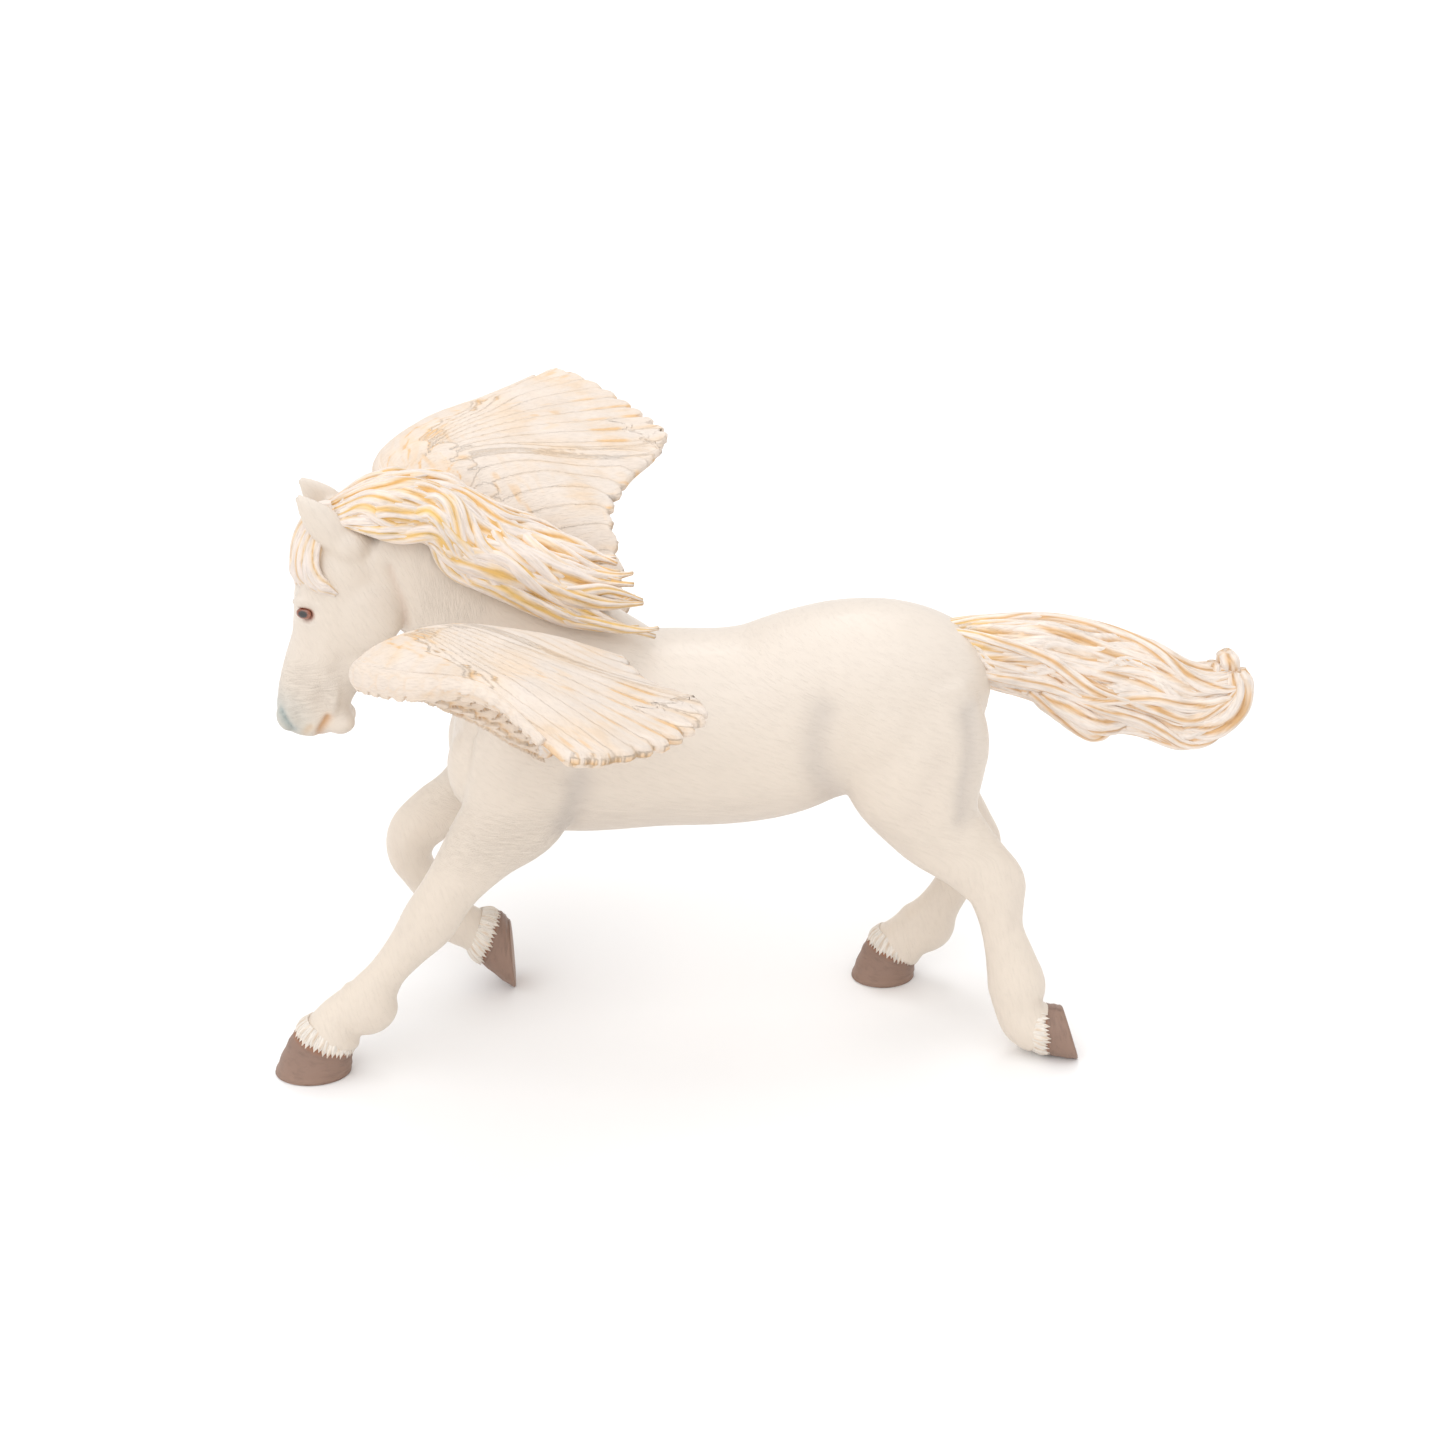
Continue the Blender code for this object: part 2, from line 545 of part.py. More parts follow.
def lock(guides, row, number, side):
    """One wavy lock; row says between which guides it lies, on the given side of the neck."""
    upper = min(int(row), len(guides) - 2)
    share = row - upper
    steps = 30
    grow = NECK_LENGTH / DRAWN_NECK
    reach = 1.0 - 0.05 * (1 + math.sin(3.1 * number))
    path = []
    radii = []
    for index in range(steps + 1):
        place = reach * index / steps
        first = curve_point(guides[upper], place)
        second = curve_point(guides[upper + 1], place)
        x, y, z = first + (second - first) * share
        place_x, place_z = neck_place(x, z)
        spread = min(1.0, 4.0 * place)
        wave_z = 0.8 * spread * math.sin(8.5 * place + 1.9 * number)
        wave_y = 0.55 * spread * math.cos(7.0 * place + 2.3 * number)
        path.append((place_x, -side * grow * (y + wave_y), place_z + wave_z))
        taper = min(1.0, 0.6 + 2.0 * place) * min(1.0, 0.45 + 3.0 * (1 - index / steps))
        radii.append(MANE_STRAND_RADIUS * grow * taper * (1.0 + 0.16 * math.sin(2.7 * number)))
    return strand(path, radii)


def forelock():
    """Hair that falls from between the ears over the forehead, parted to the left."""
    guides = [[(-64.0, 0.0, 105.8), (-68.4, 0.4, 105.0), (-72.0, 0.2, 100.6), (-73.6, 0.0, 95.0),
               (-73.9, -0.8, 91.4)],
              [(-64.0, -2.2, 105.2), (-68.2, -3.4, 102.6), (-70.8, -4.8, 98.0),
               (-70.6, -6.0, 94.0), (-67.4, -6.8, 91.4)],
              [(-64.0, 2.0, 105.2), (-68.6, 2.6, 102.8), (-71.4, 3.8, 98.0), (-72.2, 4.6, 94.0),
               (-71.6, 4.8, 92.0)]]
    pairs = [(0, 1, 0.0), (0, 1, 0.33), (0, 1, 0.66), (0, 1, 1.0), (0, 2, 0.5), (0, 2, 1.0)]
    pieces = []
    for first, second, share in pairs:
        rows = []
        for one, two in zip(guides[first], guides[second]):
            x, y, z = [a + (b - a) * share for a, b in zip(one, two)]
            place_x, place_z = head_place(x, z)
            rows.append((place_x, y, place_z))
        path = smooth_rows(rows, 3)
        last = len(path) - 1
        radii = [1.35 * min(1.0, 0.35 + 2.5 * (1 - index / last)) for index in range(last + 1)]
        pieces.append(strand(path, radii))
    return pieces


def tail():
    """Tail streaming behind: a core wrapped in rope-like locks that curl up at the end."""
    rows = [(40.0, 76.0, 4.2, 3.6), (47.0, 75.4, 5.7, 4.6), (57.0, 72.8, 8.2, 5.8),
            (66.0, 68.8, 10.2, 6.4), (76.0, 66.4, 9.4, 6.2), (84.0, 63.2, 8.4, 5.6),
            (90.0, 64.2, 7.4, 4.8), (93.4, 66.4, 4.8, 3.6)]
    core = []
    for x, z, half_high, half_wide in rows:
        place_x, place_z = tail_place(x, z)
        core.append((place_x, 0.0, place_z, half_high, half_wide))
    inner = [(x, y, z, half_high - 1.9, half_wide - 1.9) for x, y, z, half_high, half_wide in core]
    pieces = [limb(inner, count=14)]
    smooth = smooth_rows(core, 4)
    last = len(smooth) - 1
    for number in range(TAIL_STRANDS):
        start = 2 * math.pi * number / TAIL_STRANDS
        path = []
        radii = []
        for index, (x, y, z, half_high, half_wide) in enumerate(smooth):
            place = index / last
            angle = start + 0.5 * place + 0.32 * math.sin(5.0 * place + 1.7 * number)
            radius = TAIL_STRAND_RADIUS * min(1.0, 0.55 + 1.6 * place)
            radius *= min(1.0, 0.35 + 3.2 * (1 - place)) * (1 + 0.15 * math.sin(2.1 * number))
            path.append((x, y + (half_wide - radius) * math.cos(angle),
                         z + (half_high - radius) * math.sin(angle)))
            radii.append(radius)
        pieces.append(strand(path, radii))
    pieces.append(tail_lock([(58.0, 0.0, 66.0), (62.0, -1.5, 61.0), (66.0, -1.8, 58.6),
                             (70.5, -1.0, 60.5), (75.0, 0.0, 64.0)], 1.7))
    pieces.append(tail_lock([(84.0, -2.0, 58.0), (90.0, -2.4, 58.6), (94.0, -1.6, 62.0),
                             (94.4, -0.6, 67.0), (93.0, 0.0, 71.4), (91.8, 0.6, 73.4)], 1.9))
    pieces.append(tail_lock([(80.0, 1.6, 69.0), (86.0, 1.8, 67.4), (90.2, 1.2, 69.4),
                             (92.0, 0.6, 73.0)], 1.8))
    return pieces


def tail_lock(points, radius):
    """A free lock of the tail with its own path, tapered at its end."""
    rows = []
    for x, y, z in points:
        place_x, place_z = tail_place(x, z)
        rows.append((place_x, y, place_z))
    path = smooth_rows(rows, 4)
    last = len(path) - 1
    return strand(path, [radius * min(1.0, 0.5 + 2.4 * (1 - index / last))
                         for index in range(last + 1)])


def make_object(name, pieces, collection):
    """Join closed meshes, drawn in millimetres, into one object in metres."""
    points = []
    faces = []
    for piece_points, piece_faces in pieces:
        shift = len(points)
        points.extend(Vector(point) * MM for point in piece_points)
        faces.extend(tuple(corner + shift for corner in face) for face in piece_faces)
    mesh = bpy.data.meshes.new(name)
    mesh.from_pydata(points, [], faces)
    work = bmesh.new()
    work.from_mesh(mesh)
    bmesh.ops.recalc_face_normals(work, faces=work.faces)
    work.to_mesh(mesh)
    work.free()
    item = bpy.data.objects.new(name, mesh)
    collection.objects.link(item)
    return item


def fuse(item, voxel, smooth_steps):
    """Melt overlapping volumes into one closed skin and soften its steps."""
    remesh = item.modifiers.new("one_skin", "REMESH")
    remesh.mode = "VOXEL"
    remesh.voxel_size = voxel * MM
    soften = item.modifiers.new("soften", "SMOOTH")
    soften.factor = 0.5
    soften.iterations = smooth_steps


def bake(item):
    """Replace an object's mesh by its evaluated one."""
    graph = bpy.context.evaluated_depsgraph_get()
    mesh = bpy.data.meshes.new_from_object(item.evaluated_get(graph))
    item.modifiers.clear()
    item.data = mesh
    return mesh


def carve(mesh, strokes):
    """Press grooves into a skin, or raise ridges where the depth is negative.

    A stroke is drawn on the side view: its side, its points (x, z), its radius and depth.
    """
    count = len(mesh.vertices)
    places = np.empty(count * 3)
    normals = np.empty(count * 3)
    mesh.vertices.foreach_get("co", places)
    mesh.vertices.foreach_get("normal", normals)
    places = places.reshape(count, 3) / MM
    normals = normals.reshape(count, 3)
    moved = places.copy()
    for side, points, radius, depth in strokes:
        curve = smooth_rows(points, 6)
        flat = places[:, (0, 2)]
        nearest = np.full(count, 1e9)
        for start, end in zip(curve[:-1], curve[1:]):
            step = end - start
            share = np.clip((flat - start) @ step / (step @ step), 0.0, 1.0)
            gap = np.linalg.norm(flat - start - share[:, None] * step, axis=1)
            nearest = np.minimum(nearest, gap)
        facing = np.clip(normals[:, 1] * side, 0.0, 1.0)
        press = depth * np.exp(-(nearest / radius) ** 2) * facing
        moved -= normals * press[:, None]
    mesh.vertices.foreach_set("co", (moved * MM).reshape(-1))
    mesh.update()


def body_strokes():
    """Creases and ridges of the coat on both sides of the trunk, neck and head."""
    strokes = []
    for side in (LEFT, RIGHT):
        elbow = [(-29.0, 52.0), (-26.5, 57.0), (-25.5, 63.0)]
        shoulder = [(-44.0, 68.0), (-38.0, 72.0), (-30.0, 76.0)]
        flank = [(19.0, 52.0), (16.0, 59.0), (14.5, 67.0), (15.5, 74.0)]
        haunch = [(41.5, 50.0), (42.0, 56.0), (43.0, 64.0), (42.0, 71.0)]
        thigh = [(33.0, 50.0), (35.0, 56.0), (37.5, 62.0)]
        for points, radius, depth in ((elbow, 2.2, 0.9), (shoulder, 2.4, 0.5), (flank, 2.6, 0.9),
                                      (haunch, 1.8, 1.0), (thigh, 2.4, 0.4)):
            placed = [(trunk_x(x), trunk_z(z)) for x, z in points]
            strokes.append((side, placed, radius, depth))
        jaw = [(-57.6, 101.5), (-57.2, 97.5), (-56.0, 93.5), (-54.8, 89.5), (-55.0, 86.0)]
        cheek = [(-66.5, 79.5), (-69.0, 75.0), (-70.5, 70.5)]
        face = [(-72.5, 85.0), (-72.8, 80.0), (-74.0, 75.0)]
        mouth = [(-71.9, 63.2), (-71.4, 65.5), (-70.0, 67.8)]
        nostril = [(-78.2, 69.6), (-77.2, 67.6), (-76.0, 65.6)]
        brow = [(-74.6, 90.6), (-72.4, 91.6), (-70.0, 90.6)]
        lid = [(-74.0, 87.0), (-72.4, 86.4), (-70.8, 87.4)]
        for points, radius, depth in ((jaw, 1.0, 1.0), (cheek, 2.0, 0.6), (face, 1.8, 0.35),
                                      (mouth, 0.6, 0.9), (nostril, 0.75, 1.1), (brow, 0.8, -0.4),
                                      (lid, 0.7, -0.25)):
            placed = [head_place(x, z) for x, z in points]
            strokes.append((side, placed, radius, depth))
    return strokes


def keep_largest(mesh):
    """Drop crumbs and sealed bubbles that the fusing may leave."""
    work = bmesh.new()
    work.from_mesh(mesh)
    work.verts.ensure_lookup_table()
    unseen = set(work.verts)
    islands = []
    while unseen:
        start = unseen.pop()
        island = [start]
        queue = [start]
        while queue:
            vertex = queue.pop()
            for edge in vertex.link_edges:
                other = edge.other_vert(vertex)
                if other in unseen:
                    unseen.discard(other)
                    island.append(other)
                    queue.append(other)
        islands.append(island)
    islands.sort(key=len)
    for island in islands[:-1]:
        bmesh.ops.delete(work, geom=island, context="VERTS")
    work.to_mesh(mesh)
    work.free()


def figurine_material():
    """Warm cream paint with a satin sheen."""
    material = bpy.data.materials.new("cream_painted_plastic")
    material.use_nodes = True
    shader = material.node_tree.nodes["Principled BSDF"]
    shader.inputs["Base Color"].default_value = (0.83, 0.75, 0.65, 1.0)
    shader.inputs["Roughness"].default_value = 0.45
    shader.inputs["Metallic"].default_value = 0.0
    return material


def clear_scene():
    for item in list(bpy.data.objects):
        bpy.data.objects.remove(item, do_unlink=True)


def build():
    clear_scene()
    part = bpy.data.collections.new("pegasus_figurine")
    cutters = bpy.data.collections.new("cutters")
    bpy.context.scene.collection.children.link(part)
    bpy.context.scene.collection.children.link(cutters)

    flesh = trunk() + neck() + head() + fore_legs() + hind_legs() + hooves() + muscles()
    figurine = make_object("pegasus_figurine", flesh, part)
    fuse(figurine, FLESH_VOXEL, FLESH_SMOOTH_STEPS)
    bake(figurine)
    carve(figurine.data, body_strokes())

    hair = make_object("hair_and_wings", mane() + forelock() + tail() + wing(LEFT) + wing(RIGHT),
                       part)
    joined = bmesh.new()
    joined.from_mesh(figurine.data)
    joined.from_mesh(hair.data)
    joined.to_mesh(figurine.data)
    joined.free()
    bpy.data.objects.remove(hair, do_unlink=True)
    fuse(figurine, SKIN_VOXEL, SMOOTH_STEPS)
    bake(figurine)
    keep_largest(figurine.data)

    triangles = sum(len(face.vertices) - 2 for face in figurine.data.polygons)
    thin = figurine.modifiers.new("fewer_faces", "DECIMATE")
    thin.ratio = min(1.0, TARGET_TRIANGLES / triangles)
    bake(figurine)

    corners = [vertex.co for vertex in figurine.data.vertices]
    low_x = min(corner.x for corner in corners)
    high_x = max(corner.x for corner in corners)
    low_y = min(corner.y for corner in corners)
    high_y = max(corner.y for corner in corners)
    middle = Vector(((low_x + high_x) / 2, (low_y + high_y) / 2, 0.0))
    for vertex in figurine.data.vertices:
        vertex.co -= middle

    floor_mesh = bpy.data.meshes.new("floor_cutter")
    block = bmesh.new()
    bmesh.ops.create_cube(block, size=1.0)
    bmesh.ops.scale(block, vec=(0.4, 0.4, 0.02), verts=block.verts)
    bmesh.ops.translate(block, vec=(0.0, 0.0, -0.01), verts=block.verts)
    block.to_mesh(floor_mesh)
    block.free()
    floor = bpy.data.objects.new("floor_cutter", floor_mesh)
    cutters.objects.link(floor)
    floor.hide_render = True
    floor.display_type = "WIRE"
    trim = figurine.modifiers.new("flat_soles", "BOOLEAN")
    trim.operation = "DIFFERENCE"
    trim.solver = "EXACT"
    trim.object = floor

    figurine.data.materials.clear()
    figurine.data.materials.append(figurine_material())
    figurine.data.shade_smooth()
    return figurine


build()
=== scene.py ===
"""The painted look of the pegasus figurine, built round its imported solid.

Tables are drawn in millimetres with the head at -X and the left side at -Y, and placed()
turns them into the frame's metres. Every point of a piece carries its paint and its flow,
which is where it lies along and across the hair, and the materials read both.
"""
import math

import bmesh
import bpy
import numpy as np
from mathutils import Matrix, Vector


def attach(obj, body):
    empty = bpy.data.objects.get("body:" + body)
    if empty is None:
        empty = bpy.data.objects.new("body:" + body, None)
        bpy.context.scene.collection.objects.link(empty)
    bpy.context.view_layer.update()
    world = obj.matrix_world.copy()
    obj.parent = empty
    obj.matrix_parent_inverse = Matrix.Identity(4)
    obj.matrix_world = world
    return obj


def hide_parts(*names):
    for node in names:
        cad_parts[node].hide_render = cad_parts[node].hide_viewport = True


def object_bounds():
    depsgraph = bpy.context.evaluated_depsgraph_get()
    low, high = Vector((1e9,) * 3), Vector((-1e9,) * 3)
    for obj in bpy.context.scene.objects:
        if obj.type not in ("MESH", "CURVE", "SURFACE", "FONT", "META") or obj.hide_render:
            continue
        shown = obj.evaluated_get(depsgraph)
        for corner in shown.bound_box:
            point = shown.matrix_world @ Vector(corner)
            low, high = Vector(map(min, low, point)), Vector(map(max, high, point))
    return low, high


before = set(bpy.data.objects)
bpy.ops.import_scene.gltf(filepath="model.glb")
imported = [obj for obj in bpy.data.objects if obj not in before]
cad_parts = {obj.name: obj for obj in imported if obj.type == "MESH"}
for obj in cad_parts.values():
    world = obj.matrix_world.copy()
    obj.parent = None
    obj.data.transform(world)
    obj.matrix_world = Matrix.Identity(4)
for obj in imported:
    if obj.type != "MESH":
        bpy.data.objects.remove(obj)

CAD_LOW, CAD_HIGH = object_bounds()
NODE = "pegasus_figurine"
LEFT = -1
RIGHT = 1

# Drawn sizes in millimetres, and the scale that the frame gives them
DRAWN_LENGTH = 179.2
DRAWN_LOW_X = -83.64
MM = (CAD_HIGH.x - CAD_LOW.x) / DRAWN_LENGTH
SHIFT_X = DRAWN_LOW_X - CAD_LOW.x / MM
BODY_VOXEL = 0.56
BODY_SMOOTH_STEPS = 8
WING_EDGE = 3.7
PRIMARIES = 10
INNER_PRIMARIES = 4
SECONDARIES = 10
HOOF_LENGTH = 13.6
HOOF_WIDTH = 10.4
EYE = (-72.7, 4.75, 88.6)

# Half width of the ground in metres, and scale of the finest noise in the paint
GROUND = 6.0
GRAIN = 900.0

# Paint, as linear colours
CREAM = (0.70, 0.612, 0.52)
# Lighter cream, a painted highlight on upward-facing coat and raised brows
CREAM_HIGHLIGHT = (0.69, 0.622, 0.56)
SKIN_SHADOW = (0.516, 0.43, 0.378)
# Grey airbrush paint that also serves as painted shade in the coat's creases
AIRBRUSH_AND_SHADE = (0.31, 0.284, 0.284)
BLUE_GREY = (0.31, 0.378, 0.37)
RIM_BROWN = (0.292, 0.095, 0.052)
MOUTH_BROWN = (0.387, 0.138, 0.043)
MOUTH_TAN = (0.568, 0.31, 0.138)
HAIR_LIGHT = (0.808, 0.714, 0.649)
HAIR_PEACH = (0.8, 0.611, 0.396)
HAIR_ORANGE = (0.75, 0.43, 0.15)
HAIR_BROWN = (0.568, 0.284, 0.077)
HAIR_YELLOW = (0.82, 0.55, 0.18)
MANE_TONES = (HAIR_LIGHT, HAIR_PEACH, HAIR_ORANGE, HAIR_BROWN)
TAIL_TONES = ((0.817, 0.722, 0.645), (0.774, 0.585, 0.413), (0.688, 0.413, 0.189),
              (0.473, 0.232, 0.086))
FORELOCK_TONES = (HAIR_LIGHT, (0.817, 0.688, 0.568), HAIR_PEACH, HAIR_ORANGE)
FRINGE_TONES = ((0.791, 0.731, 0.662), (0.77, 0.70, 0.62), (0.72, 0.60, 0.48),
                (0.60, 0.44, 0.31))
FEATHER_WHITE = (0.76, 0.70, 0.655)
FEATHER_LIGHT = (0.74, 0.645, 0.565)
FEATHER_PEACH = (0.75, 0.555, 0.37)
FEATHER_ORANGE = (0.73, 0.445, 0.20)
# Brown for painted shade on the undersides of the wings
FEATHER_SHADE_BROWN = (0.413, 0.189, 0.069)
HOOF_TAUPE = (0.318, 0.202, 0.15)
HOOF_DARK = (0.172, 0.103, 0.077)


def mix(first, second, share):
    """Blend two colours, or arrays of them, by a share from 0 to 1."""
    share = np.clip(np.asarray(share, dtype=float), 0.0, 1.0)[..., None]
    return np.asarray(first) * (1 - share) + np.asarray(second) * share


def fade(value, low, high):
    """0 below low, 1 above high and smooth between."""
    t = np.clip((np.asarray(value, dtype=float) - low) / (high - low), 0.0, 1.0)
    return t * t * (3 - 2 * t)


def spline(table, index, t):
    """The smooth curve through a table's rows, at share t of the gap after a row."""
    start = table[index]
    end = table[index + 1]
    before = table[index - 1] if index > 0 else 2 * start - end
    after = table[index + 2] if index + 2 < len(table) else 2 * end - start
    return 0.5 * (2 * start + (end - before) * t
                  + (2 * before - 5 * start + 4 * end - after) * t ** 2
                  + (3 * start - before - 3 * end + after) * t ** 3)


def smooth_rows(rows, steps):
    """Run a smooth curve through rows of numbers, with the given steps per gap."""
    table = np.array(rows, dtype=float)
    curve = [spline(table, index, step / steps)
             for index in range(len(table) - 1) for step in range(steps)]
    return np.array(curve + [table[-1]])


def curve_point(points, share):
    """A point at a share of the way along a smooth curve through the given points."""
    table = np.array(points, dtype=float)
    place = min(max(share, 0.0), 1.0) * (len(table) - 1)
    index = min(int(place), len(table) - 2)
    return spline(table, index, place - index)


def unit(vectors):
    """Vectors, held in the last axis, brought to length 1."""
    return vectors / np.maximum(np.linalg.norm(vectors, axis=-1, keepdims=True), 1e-9)


def square_to(vectors, directions):
    """Unit vectors square to unit directions, as near as can be to the given ones."""
    return unit(vectors - directions * np.sum(vectors * directions, axis=-1, keepdims=True))


def path_lengths(path):
    """Distance along a path at each of its points."""
    return np.concatenate([[0.0], np.cumsum(np.linalg.norm(np.diff(path, axis=0), axis=1))])


def ring_angles(count):
    return 2 * math.pi * np.arange(count) / count


class Piece:
    """Closed meshes gathered into one object, with paint and flow."""

    def __init__(self):
        self.points = []
        self.faces = []
        self.paint = []
        self.flow = []
        self.count = 0

    def add(self, points, faces, paint, flow):
        self.points.append(np.asarray(points, dtype=float))
        self.faces.extend([tuple(corner + self.count for corner in face) for face in faces])
        self.paint.append(np.asarray(paint, dtype=float))
        self.flow.append(np.asarray(flow, dtype=float))
        self.count += len(points)

    def add_rings(self, rings, paint, flow):
        """Close rings into a skin; paint and flow have one row for each ring point."""
        rows, columns = np.shape(rings)[:2]

        def capped(values):
            values = np.reshape(values, (rows, columns, 3))
            ends = [values[0].mean(axis=0), values[-1].mean(axis=0)]
            return np.vstack([values.reshape(-1, 3), ends])

        self.add(capped(rings), ring_faces(rows, columns), capped(paint), capped(flow))

    def finish(self, name, material):
        """Make the piece's object and place it in the frame."""
        mesh = closed_mesh(name, placed(np.vstack(self.points)), self.faces)
        paint_mesh(mesh, np.vstack(self.paint), np.vstack(self.flow))
        adopt(name, mesh, material)


def placed(points):
    """Turn drawn millimetres into the frame's metres."""
    return (np.asarray(points) - np.array([SHIFT_X, 0.0, 0.0])) * MM


def closed_mesh(name, points, faces):
    """A mesh with its faces turned outward."""
    mesh = bpy.data.meshes.new(name)
    mesh.from_pydata(points, [], faces)
    work = bmesh.new()
    work.from_mesh(mesh)
    bmesh.ops.recalc_face_normals(work, faces=work.faces)
    work.to_mesh(mesh)
    work.free()
    return mesh


def shown(name, data):
    """Put a mesh, a lamp or a camera in the scene."""
    item = bpy.data.objects.new(name, data)
    bpy.context.scene.collection.objects.link(item)
    return item


def paint_mesh(mesh, paint, flow):
    """Store paint and flow on the points of a mesh."""
    colour = mesh.attributes.new("paint", "FLOAT_COLOR", "POINT")
    colour.data.foreach_set("color", np.hstack([paint, np.ones((len(paint), 1))]).ravel())
    direction = mesh.attributes.new("flow", "FLOAT_VECTOR", "POINT")
    direction.data.foreach_set("vector", np.asarray(flow, dtype=float).ravel())


def adopt(name, mesh, material):
    """Wrap a placed mesh as a piece that rides on the body and stands for the node."""
    mesh.materials.append(material)
    mesh.shade_smooth()
    item = shown(name, mesh)
    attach(item, "root")
    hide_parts(NODE)


def ring_faces(rows, columns):
    """Faces of a stack of rings closed by a fan at each end."""
    faces = []
    for row in range(rows - 1):
        for column in range(columns):
            following = (column + 1) % columns
            faces.append((row * columns + column, row * columns + following,
                          (row + 1) * columns + following, (row + 1) * columns + column))
    first = rows * columns
    last = (rows - 1) * columns
    for column in range(columns):
        following = (column + 1) % columns
        faces.append((following, column, first))
        faces.append((last + column, last + following, first + 1))
    return faces


def ellipse(centre, long_axis, side_axis, half_long, half_side, count):
    """One ring of points round an ellipse."""
    angles = ring_angles(count)
    return (np.asarray(centre) + np.outer(np.cos(angles) * half_long, long_axis)
            + np.outer(np.sin(angles) * half_side, side_axis))


# Flesh: the same volumes as the solid, melted at a finer step


def limb(rows, count=24, steps=5):
    """Loft ellipses along a path: rows of x, y, z, half fore-and-aft, half side."""
    table = smooth_rows(rows, steps)
    tangents = unit(np.gradient(table[:, :3], axis=0))
    sides = square_to(np.array([0.0, 1.0, 0.0]), tangents)
    return np.array([ellipse(row[:3], np.cross(side, tangent), side, max(row[3], 0.2),
                             max(row[4], 0.2), count)
                     for row, tangent, side in zip(table, tangents, sides)])


def middle_limb(rows, count):
    """Loft on the middle plane: rows of x, z, half fore-and-aft, half side."""
    return limb([(x, 0.0, z, half_long, half_side) for x, z, half_long, half_side in rows], count)


def stack(rows, count):
    """Loft ellipses with a stated tilt: rows of x, y, z, half long, half side, degrees."""
    rings = []
    for x, y, z, half_long, half_side, tilt in rows:
        angle = math.radians(tilt)
        fore = np.array([math.cos(angle), 0.0, math.sin(angle)])
        rings.append(ellipse((x, y, z), fore, (0.0, 1.0, 0.0), half_long, half_side, count))
    return np.array(rings)


def ball(centre, half_sizes, rows=11, count=18):
    """An ellipsoid that fills out a muscle."""
    rings = []
    for index in range(1, rows):
        angle = math.pi * index / rows
        level = np.array(centre) + np.array([0.0, 0.0, half_sizes[2] * math.cos(angle)])
        rings.append(ellipse(level, (1.0, 0.0, 0.0), (0.0, 1.0, 0.0),
                             half_sizes[0] * math.sin(angle), half_sizes[1] * math.sin(angle),
                             count))
    return np.array(rings)


def balls(volumes, side):
    """Ellipsoids on one side: rows of a centre and its half sizes."""
    return [ball((x, side * y, z), half_sizes) for (x, y, z), half_sizes in volumes]


def trunk():
    """Barrel from chest to buttock: rows of x, back line, belly line, half width."""
    rows = [(-48.4, 65, 56.5, 4.5), (-46.3, 70.5, 50.5, 9), (-42, 74.5, 46, 11.8),
            (-35, 77.5, 43.6, 13.8), (-25, 79.5, 42.9, 15.2), (-12, 80.3, 43.6, 15.8),
            (0, 80, 43.6, 15.8), (8, 81, 44.6, 15.6), (15, 83.4, 47.2, 15.2),
            (23, 85, 49.5, 15.6), (31, 84.4, 50, 15.6), (38, 81.6, 51, 13.6),
            (43, 77, 53, 10), (46.3, 71, 57, 5.5)]
    return middle_limb([(x, (top + bottom) / 2, (top - bottom) / 2, half_width)
                        for x, top, bottom, half_width in rows], 36)


def neck():
    """Arched neck: rows of x, z, half depth, half width."""
    rows = [(-21, 63.5, 19, 12.5), (-29, 71, 18.2, 12), (-37, 81, 15.4, 9.6),
            (-44.5, 89, 13.2, 7.8), (-52.5, 95, 11.6, 6.9), (-60.5, 98.4, 9.4, 6.3)]
    return middle_limb(rows, 30)


def head():
    """Skull from poll to lips, cheeks, brows and ears."""
    rows = [(-62.5, 106, 3, 3), (-64, 103.4, 5.8, 5.2), (-64.3, 98, 8, 6.6),
            (-65.2, 92, 9, 7), (-65.9, 86.5, 9.1, 6.8), (-67.6, 81, 8.3, 5.8),
            (-70.2, 76, 7.3, 4.7), (-72.2, 71, 6.6, 4.2), (-72.7, 67, 6.4, 4.3),
            (-72.6, 64.9, 5, 3.7), (-72.4, 63.3, 2.6, 2.2)]
    pieces = [middle_limb(rows, 28)]
    volumes = [((-61.8, 4.6, 88.5), (6.4, 3.2, 7.4)), ((-72.2, 4.2, 90.6), (2.4, 1.7, 1.9)),
               ((-69, 3.4, 77), (2, 1.8, 9)), ((-76.6, 2.7, 68), (2.6, 2, 3.2)),
               ((-68, 1.5, 66), (2.8, 2.4, 2.5)), ((-64, 4.6, 101), (3.6, 2.6, 3.4))]
    for side in (LEFT, RIGHT):
        pieces += balls(volumes, side) + [ear(side)]
    return pieces


def ear(side):
    """A leaf-shaped ear that leans forward, from its root on the poll to its tip."""
    lean = math.radians(50)
    rows = [(0, 4.5, 2.8, 2.2), (0.28, 4.6, 3.2, 2), (0.55, 4.5, 2.9, 1.6),
            (0.8, 4.2, 1.8, 1.2), (1, 3.9, 0.5, 0.5)]
    length = 11.5
    path = [(-65.2 - along * length * math.cos(lean), side * y,
             101.4 + along * length * math.sin(lean), half_width, half_thickness)
            for along, y, half_width, half_thickness in rows]
    return limb(path, count=18)


